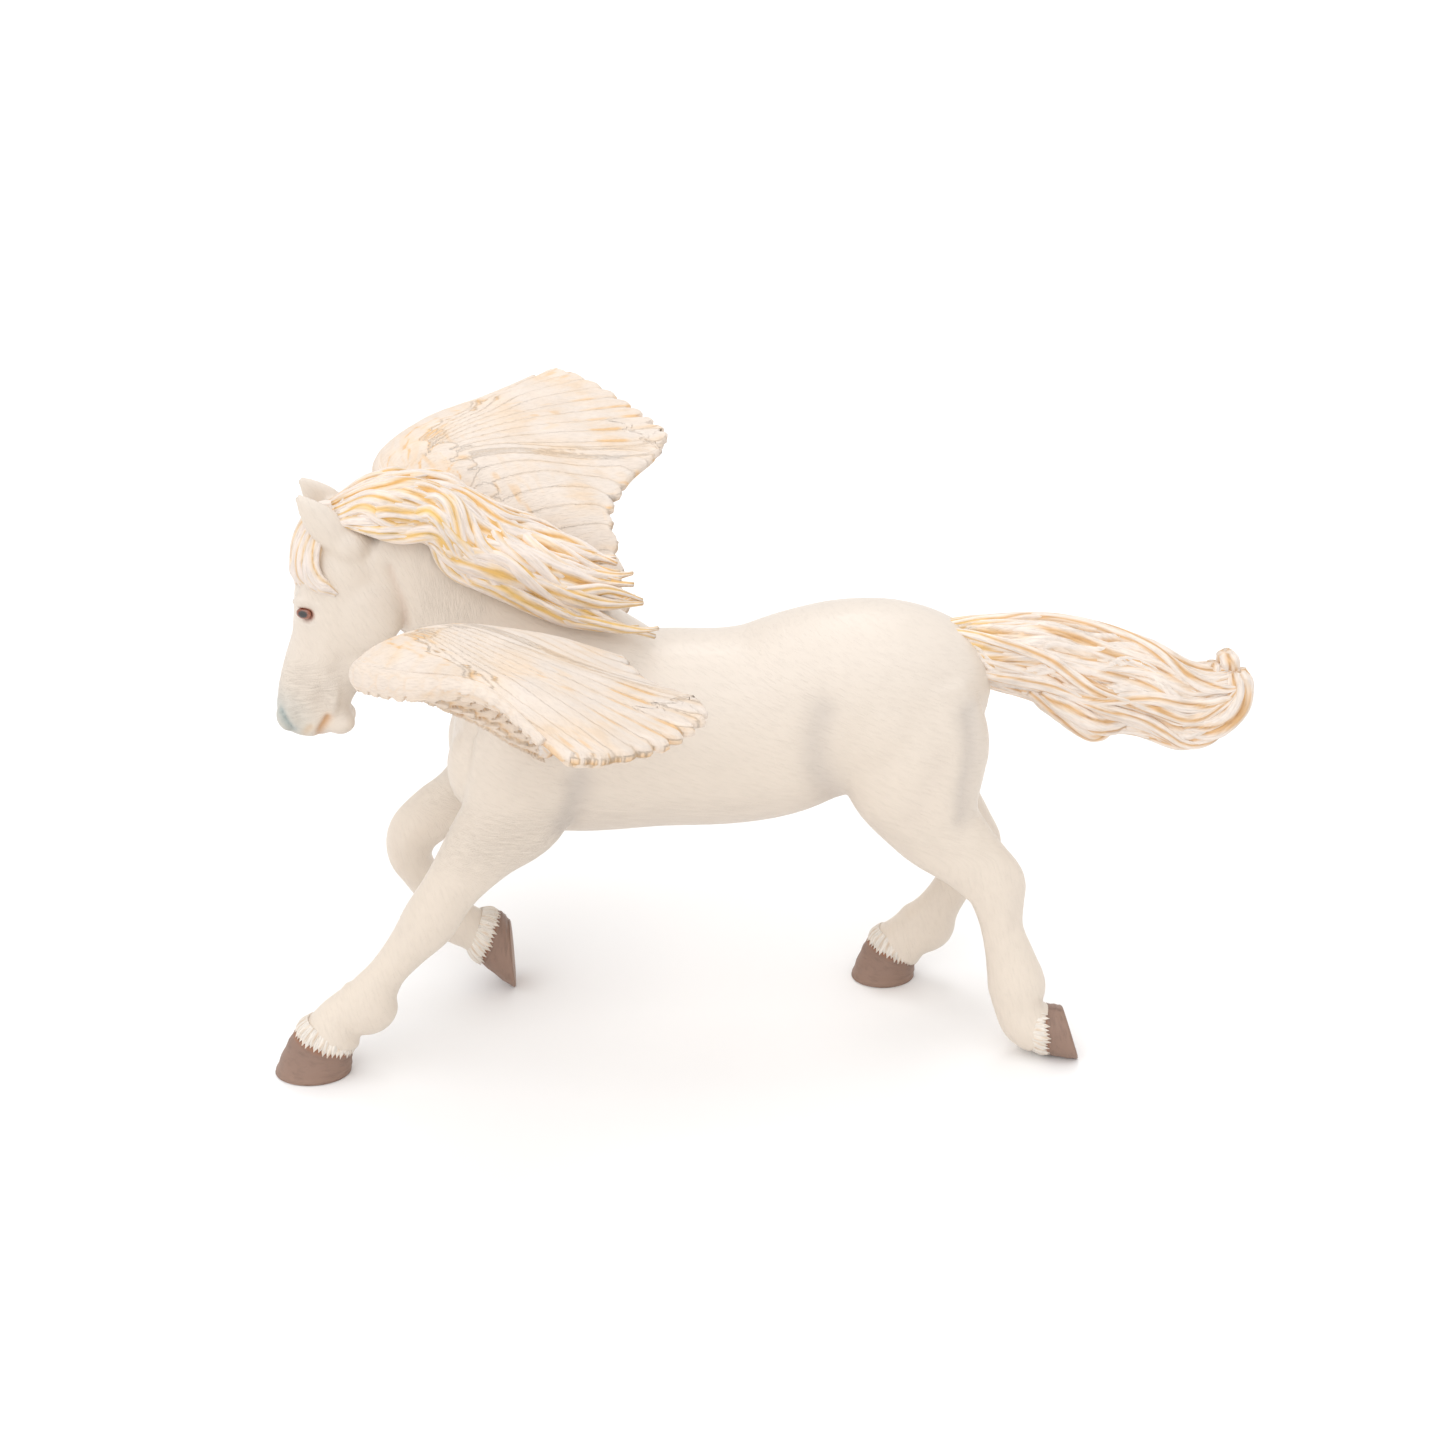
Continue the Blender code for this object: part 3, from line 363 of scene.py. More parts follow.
def legs():
    """Two forelegs and two hind legs: rows of x, y, z, half fore-and-aft, half side."""
    fore_left = [(-32.5, -8.5, 70, 8.5, 5), (-34.5, -10.3, 60, 10.8, 6.2),
                 (-38, -11.2, 51.5, 9.6, 6.2), (-43.8, -12, 45, 7, 5.4),
                 (-49.4, -12.4, 37.6, 5.2, 4.4), (-54, -12.8, 30.5, 5.1, 4.3),
                 (-57.8, -13, 25.6, 4, 3.5), (-61.6, -13.2, 20.9, 3.5, 3),
                 (-64.2, -13.2, 17, 4.4, 3.5), (-66, -13.2, 13.7, 5.9, 4.2),
                 (-70.6, -13.2, 11.6, 4.2, 3.8), (-72.8, -13.2, 7.6, 5.8, 4.8)]
    fore_right = [(-33, 8.5, 70, 8.5, 5), (-35.5, 9.8, 58.5, 10.2, 6),
                  (-40.5, 10.4, 50, 8.6, 5.6), (-47, 11, 43.6, 6.3, 4.9),
                  (-53.2, 11.6, 39.4, 5.4, 4.4), (-57, 12, 35.4, 4.9, 4.2),
                  (-57.9, 12.3, 30.6, 4.2, 3.7), (-56.2, 12.6, 26.2, 3.5, 3.2),
                  (-54.4, 13, 21.9, 3, 2.8), (-52.3, 13.3, 17.9, 3.3, 3),
                  (-49.8, 13.6, 14.8, 4.4, 3.7), (-46.8, 13.9, 12.8, 4.3, 3.7),
                  (-44, 14.1, 11.2, 5.5, 4.5)]
    hind_left = [(31, -7.6, 72, 12.5, 6.6), (33, -8.8, 62, 14, 8),
                 (34.6, -9.6, 53.5, 12.4, 7.8), (37.8, -10.6, 46, 8.8, 6.4),
                 (42.4, -11.6, 41, 6.9, 5.2), (45.8, -12.2, 37.6, 6.1, 4.5),
                 (48.6, -12.8, 34.2, 5.8, 4.1), (49.5, -13.3, 30.2, 4.7, 3.6),
                 (50.2, -13.9, 25.6, 3.9, 3), (51.7, -14.6, 20.2, 4.5, 3.3),
                 (53.2, -15.2, 14.2, 5.4, 4), (53.6, -15.7, 10.2, 4.6, 3.7),
                 (55.2, -16, 6.6, 4.7, 4.1), (58, -16.2, 5, 5, 4.5)]
    hind_right = [(30, 7.6, 72, 12.5, 6.6), (31.5, 8.8, 62, 13.6, 8),
                  (33, 9.4, 54, 11.8, 7.6), (37, 9.6, 47, 9, 6.4),
                  (42, 9.8, 40, 7, 5.2), (46.4, 10, 33.8, 5.7, 4.4),
                  (48.6, 10.1, 29.4, 5.2, 4), (47.3, 10.2, 25.4, 4.3, 3.5),
                  (44.8, 10.4, 20.8, 3.8, 3.1), (42.2, 10.7, 16, 4.2, 3.4),
                  (40, 11.1, 12, 5.8, 4.1), (36.8, 11.6, 9.2, 4.9, 3.9),
                  (34.4, 12, 6.6, 5.6, 4.6)]
    return [limb(rows) for rows in (fore_left, fore_right, hind_left, hind_right)]


def muscles():
    """Volumes that fill out chest, shoulders, withers and haunches on both sides."""
    volumes = [((-45, 5.5, 58), (4.5, 5.5, 8)), ((-37, 10.8, 62), (8, 4.6, 10)),
               ((-17, 2, 75.5), (12, 4.5, 5)), ((28, 9.2, 65), (10.5, 7.4, 12.5)),
               ((39, 7, 62), (7.6, 5.6, 13)), ((28, 9.6, 57.5), (7.5, 5.6, 8.5))]
    return balls(volumes, LEFT) + balls(volumes, RIGHT)


def melt(lofts):
    """Fuse closed lofts into one smooth skin."""
    piece = Piece()
    for rings in lofts:
        blank = np.zeros(rings.shape)
        piece.add_rings(rings, blank, blank)
    mesh = closed_mesh("melt", np.vstack(piece.points), piece.faces)
    item = shown("melt", mesh)
    remesh = item.modifiers.new("one_skin", "REMESH")
    remesh.mode = "VOXEL"
    remesh.voxel_size = BODY_VOXEL
    soften = item.modifiers.new("soften", "SMOOTH")
    soften.factor = 0.5
    soften.iterations = BODY_SMOOTH_STEPS
    graph = bpy.context.evaluated_depsgraph_get()
    fused = bpy.data.meshes.new_from_object(item.evaluated_get(graph))
    bpy.data.objects.remove(item, do_unlink=True)
    bpy.data.meshes.remove(mesh)
    return fused


def mesh_arrays(mesh):
    """Points and normals of a mesh as arrays."""
    arrays = np.empty((2, 3 * len(mesh.vertices)))
    mesh.vertices.foreach_get("co", arrays[0])
    mesh.vertices.foreach_get("normal", arrays[1])
    return arrays.reshape(2, -1, 3)


def stroke_gap(points, stroke):
    """Distance in side view from each point to a drawn stroke of (x, z) points."""
    curve = smooth_rows(stroke, 6)
    flat = points[:, (0, 2)]
    nearest = np.full(len(points), 1e9)
    for start, end in zip(curve[:-1], curve[1:]):
        step = end - start
        share = np.clip((flat - start) @ step / (step @ step), 0.0, 1.0)
        nearest = np.minimum(nearest, np.linalg.norm(flat - start - share[:, None] * step, axis=1))
    return nearest


# Creases of the coat in side view: points, radius, depth, paint, paint radius, paint strength
# Grey rows: airbrush paint and painted shade in the hollows. Shadow rows: painted shade.
# Light rows: a painted highlight on the raised brows.
CREASES = [
    ([(-29, 50), (-27, 55), (-26, 60)], 2.4, 0.7, AIRBRUSH_AND_SHADE, 2.6, 0.30),
    ([(-44, 68), (-38, 72), (-30, 76)], 2.4, 0.4, SKIN_SHADOW, 3, 0.06),
    ([(19, 52), (16.5, 58), (15.5, 65), (16.5, 71)], 2.6, 0.8, AIRBRUSH_AND_SHADE, 2.8, 0.24),
    ([(42, 50), (42.4, 56), (43.2, 63), (42.6, 69)], 1.8, 0.9, AIRBRUSH_AND_SHADE, 2.2, 0.28),
    ([(33, 50), (35, 56), (37.5, 62)], 2.4, 0.4, SKIN_SHADOW, 3, 0.10),
    ([(-57.4, 97.5), (-56.6, 94), (-55.4, 89.5), (-55.4, 86)],
     0.8, 0.5, MOUTH_BROWN, 0.5, 0.16),
    ([(-66.5, 79.5), (-69, 75), (-70.5, 70.5)], 2, 0.6, SKIN_SHADOW, 2.4, 0.10),
    ([(-72.5, 85), (-72.8, 80), (-74, 75)], 1.8, 0.35, SKIN_SHADOW, 2, 0.08),
    ([(-71.9, 63.2), (-71.4, 65.5), (-70, 67.8)], 0.55, 0.7, MOUTH_TAN, 0.75, 0.9),
    ([(-74.4, 63.6), (-74, 65), (-73.2, 66.2)], 0.5, 0.3, HAIR_ORANGE, 0.7, 0.4),
    ([(-78.2, 69.6), (-77.2, 67.4), (-76.2, 65.6)], 0.55, 0.9, BLUE_GREY, 0.8, 0.75),
    ([(-74.6, 90.6), (-72.4, 91.6), (-70, 90.6)], 0.8, -0.4, CREAM_HIGHLIGHT, 0.8, 0.2),
    ([(-74, 87), (-72.4, 86.4), (-70.8, 87.4)], 0.7, -0.25, CREAM_HIGHLIGHT, 0.7, 0.2),
    ([(-57, 44), (-60.5, 36), (-59, 30)], 1.6, 0.3, SKIN_SHADOW, 1.6, 0.08),
    ([(51, 37.5), (52.6, 33), (51.8, 27)], 1.2, 0.3, SKIN_SHADOW, 1.4, 0.10),
]


def body(material):
    """Coat from lips to pasterns, with pressed creases, airbrushed paint and painted shade in them,
    a painted highlight on parts that face up and painted shade on parts that face down.
    """
    mesh = melt([trunk(), neck()] + head() + legs() + muscles())
    points, normals = mesh_arrays(mesh)
    moved = points.copy()
    # Painted highlight: parts high on the body that face up are painted a lighter cream.
    top_light = 0.55 * fade(points[:, 2], 40, 84) * fade(normals[:, 2], -0.3, 0.8)
    paint = mix(CREAM, CREAM_HIGHLIGHT, top_light)
    for side in (LEFT, RIGHT):
        facing = np.clip(normals[:, 1] * side, 0.0, 1.0)
        for stroke, radius, depth, colour, spread, strength in CREASES:
            gap = stroke_gap(points, stroke)
            moved -= normals * (depth * np.exp(-(gap / radius) ** 2) * facing)[:, None]
            # Crease paint: painted shade in the hollows and a painted highlight on the raised
            # brows, beside the coat's own paints.
            share = strength * np.exp(-(gap / spread) ** 2) * fade(facing, 0.0, 0.5)
            paint = mix(paint, colour, share)
        eye = np.array([EYE[0], side * EYE[1], EYE[2]])
        reach = (points - eye) / np.array([1.65, 1.4, 1.3])
        gap = np.linalg.norm(reach, axis=1)
        moved -= normals * (0.9 * np.exp(-gap ** 2))[:, None]
        paint = mix(paint, RIM_BROWN, 1.0 - fade(gap, 0.9, 1.45))
    muzzle = np.linalg.norm((points - np.array([-77.5, 0.0, 66.0])) / (7.5, 8.0, 8.5), axis=1)
    paint = mix(paint, BLUE_GREY, 0.45 * (1.0 - fade(muzzle, 0.25, 1.15)))
    lips = np.linalg.norm((points - np.array([-69.0, 0.0, 63.5])) / (4.0, 6.0, 2.5), axis=1)
    paint = mix(paint, SKIN_SHADOW, 0.4 * (1.0 - fade(lips, 0.3, 1.2)))
    # Painted shade: parts low on the body that face down are darkened with the shadow colour.
    belly = fade(-normals[:, 2], 0.1, 0.9) * fade(points[:, 2], 38, 44)
    paint = mix(paint, SKIN_SHADOW, 0.18 * belly)
    moved[:, 2] = np.maximum(moved[:, 2], 0.05)
    mesh.vertices.foreach_set("co", placed(moved).ravel())
    mesh.update()
    paint_mesh(mesh, paint, coat_flow(points))
    adopt("coat", mesh, material)


def coat_flow(points):
    """Coordinates along and across the lie of the coat: back on the trunk, down on the legs."""
    x, y, z = points.T
    down_leg = 1.0 - fade(z, 40, 56)
    on_neck = fade(-x, 38, 54) * fade(z, 66, 80)
    angle = np.radians(-24.0) * (1 - down_leg) * (1 - on_neck)
    angle = angle + np.radians(-62.0) * on_neck + np.radians(-76.0) * down_leg
    along = x * np.cos(angle) + z * np.sin(angle)
    across = -x * np.sin(angle) + z * np.cos(angle)
    return np.stack([along, across, y], axis=1)


# Hair: carved sheets and twisted locks, orange in the grooves


def field(across, along, seed):
    """Smooth noise from -1 to 1 over two coordinates, from a seeded lattice."""
    lattice = np.random.RandomState(seed).uniform(-1.0, 1.0, (64, 64))
    row = np.floor(across).astype(int)
    column = np.floor(along).astype(int)
    s = across - row
    t = along - column
    s = s * s * (3 - 2 * s)
    t = t * t * (3 - 2 * t)
    near, far = [lattice[line % 64, column % 64] * (1 - t)
                 + lattice[line % 64, (column + 1) % 64] * t for line in (row, row + 1)]
    return near * (1 - s) + far * s


def hair_relief(along, across, width, seed):
    """Height from 0 in a groove to 1 on a strand, for ropes of the given width."""
    drift = across + 0.9 * width * field(across / (2.4 * width), along / 9.0, seed)
    drift = drift + 0.55 * width * np.sin(along / 5.0 + across / (2.0 * width))
    rope = np.abs(np.sin(math.pi * drift / width)) ** 0.8
    thin = drift + 0.3 * width * field(across / width, along / 5.0, seed + 1)
    finer = np.abs(np.sin(math.pi * thin / (0.31 * width))) ** 0.8
    strength = np.clip(0.72 + 0.5 * field(across / (1.3 * width), along / 7.0, seed + 2), 0.2, 1.0)
    return 0.76 * (1 - (1 - rope) * strength) + 0.24 * finer


def hair_tone(height, colours):
    """Paint for carved hair: pale strands, tinted flanks and deep grooves."""
    low = 1 - height
    tone = mix(colours[0], colours[1], fade(low, 0.10, 0.42) * 0.75)
    tone = mix(tone, colours[2], fade(low, 0.34, 0.68))
    return mix(tone, colours[3], fade(low, 0.60, 0.95) * 0.8)


def grid_normals(grid):
    """Normals of a grid of points, taken from its own differences."""
    return unit(np.cross(np.gradient(grid, axis=0), np.gradient(grid, axis=1)))


def carved_lock(piece, path, outward, half_width, half_depth, seed, tones, lobes=5, twist=0.8,
                carve=0.26, count=30, yellow=0.0):
    """A lock along a path, carved into strands that twist slowly about it."""
    path = np.asarray(path, dtype=float)
    tangents = unit(np.gradient(path, axis=0))
    out = square_to(np.asarray(outward, dtype=float), tangents)
    side = np.cross(tangents, out)
    place = np.linspace(0.0, 1.0, len(path))[:, None]
    along = path_lengths(path)[:, None]
    angles = ring_angles(count)[None, :]
    turn = twist * np.sin(3.1 * place + seed) + 0.7 * seed
    wander = 0.9 * field(angles * 1.3 + 3 * seed, along / 5.0, 11 + int(3 * seed) % 50)
    rope = np.abs(np.sin(lobes * (angles + turn) / 2 + wander)) ** 0.8
    finer = np.abs(np.sin(lobes * 1.5 * (angles + 1.2 * turn) + seed + wander))
    height = 0.78 * rope + 0.22 * finer
    radius = 1.0 - carve * (1 - height)
    across = np.cos(angles) * np.asarray(half_width)[:, None] * radius
    lift = np.sin(angles) * np.asarray(half_depth)[:, None] * radius
    rings = path[:, None, :] + across[..., None] * side[:, None, :]
    rings = rings + lift[..., None] * out[:, None, :]
    # Painted shade: the side of each lock that faces in, away from its outward direction, is
    # painted a little darker.
    under = fade(0.35 - np.sin(angles), 0.0, 1.1)
    paint = hair_tone(np.clip(height * (1 - 0.16 * under), 0, 1), tones)
    gold = np.clip(3.0 * yellow, 0, 1) * fade(1 - height, 0.1, 0.8)
    paint = mix(paint, HAIR_YELLOW, gold)
    flow = np.stack(np.broadcast_arrays(along, across, 7.0 * seed), axis=2)
    piece.add_rings(rings, paint, flow)


def taper(place, start, end, tip=0.3):
    """Lock thickness along its length: it swells in from start and thins out to end."""
    swell = start + (1 - start) * fade(place, 0.0, 0.22)
    return swell * (end + (1 - end) * fade(1 - place, 0.0, tip))


MANE_TOP = [(-68.6, 106.4), (-60.6, 109.9), (-52.8, 110.6), (-45.8, 108.8), (-38.8, 104),
            (-31.6, 100.6), (-23.9, 96.9), (-16.9, 94.4)]
MANE_EDGE = [(-65.6, -4.8, 106), (-61, -6.3, 105.4), (-55.4, -7.2, 104.4), (-49.6, -8, 103.2),
             (-46, -9.2, 97.6), (-37.6, -10, 93.8), (-27.6, -9, 87.2), (-15.6, -5, 81.4)]
MANE_CORE = [(-65, 0, 103), (-58, -1.5, 104), (-50, -3, 102), (-41, -4.5, 98),
             (-31, -5.2, 94), (-22, -4.4, 89.5), (-13.5, -2.5, 86)]
MANE_MIDDLE = np.array([0.0, 0.0, 96.0])


def mane_point(row, place, side):
    """A point on the mane's surface, from the crest (row 0) round to its lower edge (row 4)."""
    top = curve_point(MANE_TOP, place)
    edge = curve_point(MANE_EDGE, place)
    turn = row * math.pi / 8
    reach = 5.2 * math.sin(turn) ** 3 * float(fade(place, 0.70, 1.0))
    return np.array([top[0] + (edge[0] - top[0]) * row / 4 + reach,
                     -side * edge[1] * math.sin(turn) ** 0.8,
                     edge[2] + (top[1] - edge[2]) * max(math.cos(turn), 0.0) ** 0.9])


def mane_grid(side, rows, stations):
    """The mane's surface on one side, with its normals; rows run down from the crest."""
    grid = np.array([[mane_point(row, place, side) for row in rows] for place in stations])
    normals = grid_normals(grid)
    outward = grid - MANE_MIDDLE
    flip = np.sign(np.sum(normals[..., 1:] * outward[..., 1:], axis=2, keepdims=True))
    return grid, normals * flip


def mane_lock(piece, number, side, start_row, end_row, begin, finish, width, lift, wave=0.8):
    """One lock that drifts from one guide row to another between two shares of the length."""
    steps = 60
    shares = np.linspace(0.0, 1.0, steps + 1)
    path = []
    for t in shares:
        row = start_row + (end_row - start_row) * float(fade(t, 0.1, 0.9))
        row += 0.42 * wave * math.sin(7.5 * t + 1.9 * number) * min(1.0, 5 * t)
        row += 0.12 * wave * math.sin(19.0 * t + 2.7 * number) * min(1.0, 5 * t)
        path.append(mane_point(min(max(row, 0.0), 4.0), begin + (finish - begin) * t, side))
    path = np.array(path)
    outward = unit((path - MANE_MIDDLE) * (0.0, 1.0, 0.8))
    raised = lift + 0.75 * np.sin(9.0 * shares + 2.3 * number) * fade(shares, 0.0, 0.2)
    path = path + outward * raised[:, None]
    swell = taper(shares, 0.5, 0.30, 0.16)
    carved_lock(piece, path, outward, width * swell, width * 0.75 * swell, 0.9 * number,
                MANE_TONES, lobes=3 + number % 3, twist=1.3, carve=0.34,
                yellow=0.02 * max(start_row, end_row) ** 2)


def mane(material):
    """Hair over the crest: one carved sheet for each side, with locks laid over it."""
    piece = Piece()
    stations = np.linspace(0.0, 0.88, 160)
    near_rows = np.linspace(4.0, 0.0, 76)
    far_rows = np.linspace(0.05, 3.4, 60)
    near, near_normals = mane_grid(LEFT, near_rows, stations)
    far, far_normals = mane_grid(RIGHT, far_rows, stations)
    grid = np.concatenate([near, far], axis=1)
    normals = np.concatenate([near_normals, far_normals], axis=1)
    along = np.linspace(0.0, 57.0, len(stations))[:, None] * np.ones(grid.shape[:2])
    steps = np.linalg.norm(np.diff(grid, axis=1), axis=2).mean(axis=0)
    across = np.concatenate([[0.0], np.cumsum(steps)])[None, :] * np.ones(grid.shape[:2])
    height = hair_relief(along, across, 3.2, 5)
    grid = grid + normals * (1.9 * height - 1.5 - 0.8 * (1 - fade(along, 0.0, 4.0)))[..., None]
    core = np.array([curve_point(MANE_CORE, place)[:3] for place in stations])
    gather = 0.97 * fade(along, 42.0, 57.0)[..., None]
    grid = grid + (core[:, None, :] - grid) * gather
    low_edge = fade(across, 12.0, 0.0)
    paint = hair_tone(height, MANE_TONES)
    gold = np.clip(0.85 * low_edge + 0.30 * fade(along, 42, 57), 0, 1)
    paint = mix(paint, HAIR_YELLOW, gold * fade(1 - height, 0.25, 0.75))
    inner = grid[:, [0, -1]] * (1.0, 0.35, 1.0) - (0.0, 0.0, 1.0)
    rings = np.concatenate([inner[:, :1], grid, inner[:, 1:]], axis=1)
    paint = np.concatenate([paint[:, :1], paint, paint[:, -1:]], axis=1)
    flow = np.stack([along, across, np.zeros(along.shape)], axis=2)
    flow = np.concatenate([flow[:, :1], flow, flow[:, -1:]], axis=1)
    piece.add_rings(rings, paint, flow)
    for number in range(12):
        row = 0.1 + 3.9 * number / 11
        reach = 1.0 - 0.035 * (1 + math.sin(3.1 * number))
        mane_lock(piece, number, LEFT, row, row, 0.02 * (number % 3), reach, 2.1, -0.75)
    for number in range(9):
        row = 0.2 + 0.38 * number
        mane_lock(piece, number + 30, LEFT, row, min(row + 0.9, 4.0), 0.03 + 0.10 * (number % 3),
                  0.93 + 0.07 * math.sin(number * 1.7), 1.75, -0.15, wave=1.6)
    for number in range(7):
        row = 0.3 + 2.9 * number / 6
        mane_lock(piece, number + 20, RIGHT, row, row, 0.0, 0.86, 1.7, -0.35)
    for number in range(5):
        row = 0.5 + 0.5 * number
        mane_lock(piece, number + 50, RIGHT, row, row + 0.4, 0.08, 0.84, 1.3, 0.2, wave=1.2)
    piece.finish("mane", material)


def forelock(material):
    """Hair that falls from between the ears over the forehead, parted to the left."""
    guides = [[(-64, 0, 106.4), (-69.2, 0.2, 105.4), (-72.8, 0, 100.8), (-74, -0.6, 96),
               (-73.8, -1.8, 92.8)],
              [(-64, -2.2, 105.4), (-68.4, -3.4, 102.8), (-70.4, -5, 98.4),
               (-69.8, -6.2, 95), (-66.8, -6.9, 92.8)],
              [(-64, 2, 105.2), (-68.6, 2.6, 102.8), (-71.4, 3.8, 98), (-72.2, 4.6, 94),
               (-71.6, 4.8, 92)]]
    pairs = [(0, 1, 0), (0, 1, 0.18), (0, 1, 0.36), (0, 1, 0.54), (0, 1, 0.70), (0, 1, 0.85),
             (0, 1, 1), (0, 2, 0.3), (0, 2, 0.65), (0, 2, 1)]
    piece = Piece()
    steps = 34
    for number, (first, second, share) in enumerate(pairs):
        path = []
        outs = []
        size = []
        for index in range(steps + 1):
            t = index / steps
            one = curve_point(guides[first], t)
            two = curve_point(guides[second], t)
            point = one + (two - one) * share
            out = unit(point - np.array([-62.0, 0.0, 95.0]))
            path.append(point + out * 0.3 * math.sin(6 * t + 2 * number))
            outs.append(out)
            size.append(1.7 * float(taper(t, 0.6, 0.4, 0.2)))
        carved_lock(piece, path, np.array(outs), size, [value * 0.8 for value in size],
                    1.3 * number, FORELOCK_TONES, lobes=4, twist=0.9, carve=0.3)
    piece.finish("forelock", material)


TAIL_CORE = [(40, 76.4, 5, 4.6), (47, 75.2, 6.8, 5.4), (57, 73.4, 8.8, 6),
             (66, 69.6, 10.9, 6.4), (76, 67, 10.2, 6.2), (84, 63.2, 9.5, 5.7),
             (90, 64, 7.9, 4.9), (93.4, 66.4, 4.8, 3.6)]


def tail(material):
    """Streaming tail: a carved core, locks laid round it and a curled tuft."""
    piece = Piece()
    stations = 190
    count = 168
    table = smooth_rows(TAIL_CORE, 27)[:stations]
    angles = ring_angles(count)
    along = path_lengths(table[:, :2])[:, None] * np.ones((len(table), count))
    across = angles[None, :] * 6.6 + 0.10 * along + 1.5 * np.sin(along / 9.0)
    seam = fade(np.minimum(angles, 2 * math.pi - angles), 0.0, 0.25)[None, :]
    height = hair_relief(along, across, 3.3, 21) * seam + 0.5 * (1 - seam)
    inward = 1.55 * (1 - height) + 0.45
    turned = angles + math.pi / 2
    x, z, high, wide = table.T[..., None]
    rings = np.stack([x * np.ones(height.shape), np.cos(turned) * (wide - inward),
                      z + np.sin(turned) * (high - inward)], axis=2)
    paint = hair_tone(height, TAIL_TONES)
    root = 1 - fade(along, 2.0, 12.0)
    paint = mix(paint, HAIR_YELLOW, root * 0.75 * fade(1 - height, 0.0, 0.5))
    flow = np.stack([along, across, np.zeros(along.shape)], axis=2)
    piece.add_rings(rings, paint, flow)
    smooth = smooth_rows([(x, 0.0, z, high, wide) for x, z, high, wide in TAIL_CORE], 9)
    place = np.linspace(0.0, 1.0, len(smooth))
    for layer, number_of_locks, size, sink in ((0, 11, 2.1, 0.55), (1, 9, 1.5, 0.0)):
        for number in range(number_of_locks):
            start = 2 * math.pi * (number + 0.4 * layer) / number_of_locks
            angle = start + 0.5 * place + 0.32 * np.sin(5.0 * place + 1.7 * number)
            angle = angle + layer * 0.3 * np.sin(3.0 * place + 2.1 * number)
            swell = np.minimum(1.0, 0.5 + 1.6 * place) * np.minimum(1.0, 0.30 + 3.2 * (1 - place))
            radius = size * swell
            reach = radius * 0.75 + sink
            path = smooth[:, :3].copy()
            path[:, 1] += (smooth[:, 4] - reach) * np.cos(angle)
            path[:, 2] += (smooth[:, 3] - reach) * np.sin(angle)
            outward = np.stack([0 * angle, np.cos(angle), np.sin(angle)], axis=1)
            carved_lock(piece, path, outward, radius, 0.8 * radius, 1.1 * number + layer,
                        TAIL_TONES, lobes=4 + number % 2, twist=1.0,
                        yellow=0.3 * (1 - fade(place, 0.03, 0.22))[:, None])
    free = [([(55, -2.5, 68.5), (61, -3, 64.4), (65, -2.6, 61), (67.6, -2, 59.6),
              (70, -1.4, 60.8)], 2.3),
            ([(57, -4, 69), (63, -4.6, 64.8), (68, -4, 61.8), (72.5, -3, 61.6)], 2.1),
            ([(55, 1, 67.5), (61, 1.2, 62.8), (65.5, 1.2, 60.2), (69.5, 1.2, 60.8)], 2.1),
            ([(82, -2, 58.8), (89, -2.2, 59.4), (93.2, -1.6, 62.8), (94, -1, 66.8),
              (93.2, -0.6, 70)], 2.4),
            ([(82, 0, 62), (88.4, 0.2, 62.8), (91.4, 0.2, 66.4), (91.6, 0.2, 70.8),
              (90.6, 0.2, 73.4)], 2.2),
            ([(79, -1, 65), (85, -0.8, 65.4), (88.6, -0.4, 68), (88.9, 0, 71.6)], 2.1),
            ([(83, -3.6, 60.6), (89.4, -3.2, 62.4), (92.2, -2.2, 66), (92.2, -1.4, 70.2)], 2.2)]
    for number, (points, radius) in enumerate(free):
        path = smooth_rows(points, 9)
        size = radius * taper(np.linspace(0.0, 1.0, len(path)), 0.5, 0.7, 0.15)
        carved_lock(piece, path, (0.0, -1.0, 0.2), size, size, 2.0 * number, TAIL_TONES, lobes=4)
    piece.finish("tail", material)


# Wings: a thin plate, a rounded leading edge and rows of feathers


WING_RIBS = [[(-32.5, 14, 64.5), (-28, 14.8, 66.5), (-22, 14.8, 67), (-17, 14.2, 67)],
             [(-39.4, 22.2, 75.4), (-33.5, 22, 81), (-25, 21.5, 81.5), (-17, 19.2, 77.5)],
             [(-47, 28.8, 83.4), (-41, 28.5, 91.5), (-30, 28, 92), (-18.5, 25, 86.5)],
             [(-55, 35.4, 90.4), (-48, 35.5, 98.8), (-34, 36, 97.6), (-19.5, 32, 90.8)],
             [(-60.4, 43.8, 95.2), (-52, 45.5, 101.4), (-36, 45.5, 99.4), (-16.8, 42, 92)],
             [(-53, 54.5, 98.6), (-44.5, 55, 101.4), (-30, 54, 99), (-12, 49.5, 93.2)],
             [(-41, 63.5, 101), (-34, 63.5, 101), (-23, 61, 97.6), (-10.2, 52.5, 93.8)],
             [(-29.6, 83, 99.8), (-20.4, 79.6, 97.8), (-11.8, 69.8, 95.4), (-4.4, 56.4, 94.2)]]
SPAN_STEPS = 28
CHORD_STEPS = 32
SHEET_ROWS = 236
SHEET_COLUMNS = 150
OUTLINE_ROWS = 330
OUTLINE_COLUMNS = 260
OVERSHOOT = 0.16
BARE = -9


def wing_table():
    """The wing's middle surface on a fine grid, run smoothly through its ribs."""
    ribs = smooth_rows([np.array(rib).ravel() for rib in WING_RIBS], SPAN_STEPS)
    return np.array([smooth_rows(rib.reshape(-1, 3), CHORD_STEPS) for rib in ribs])


WING_TABLE = wing_table()


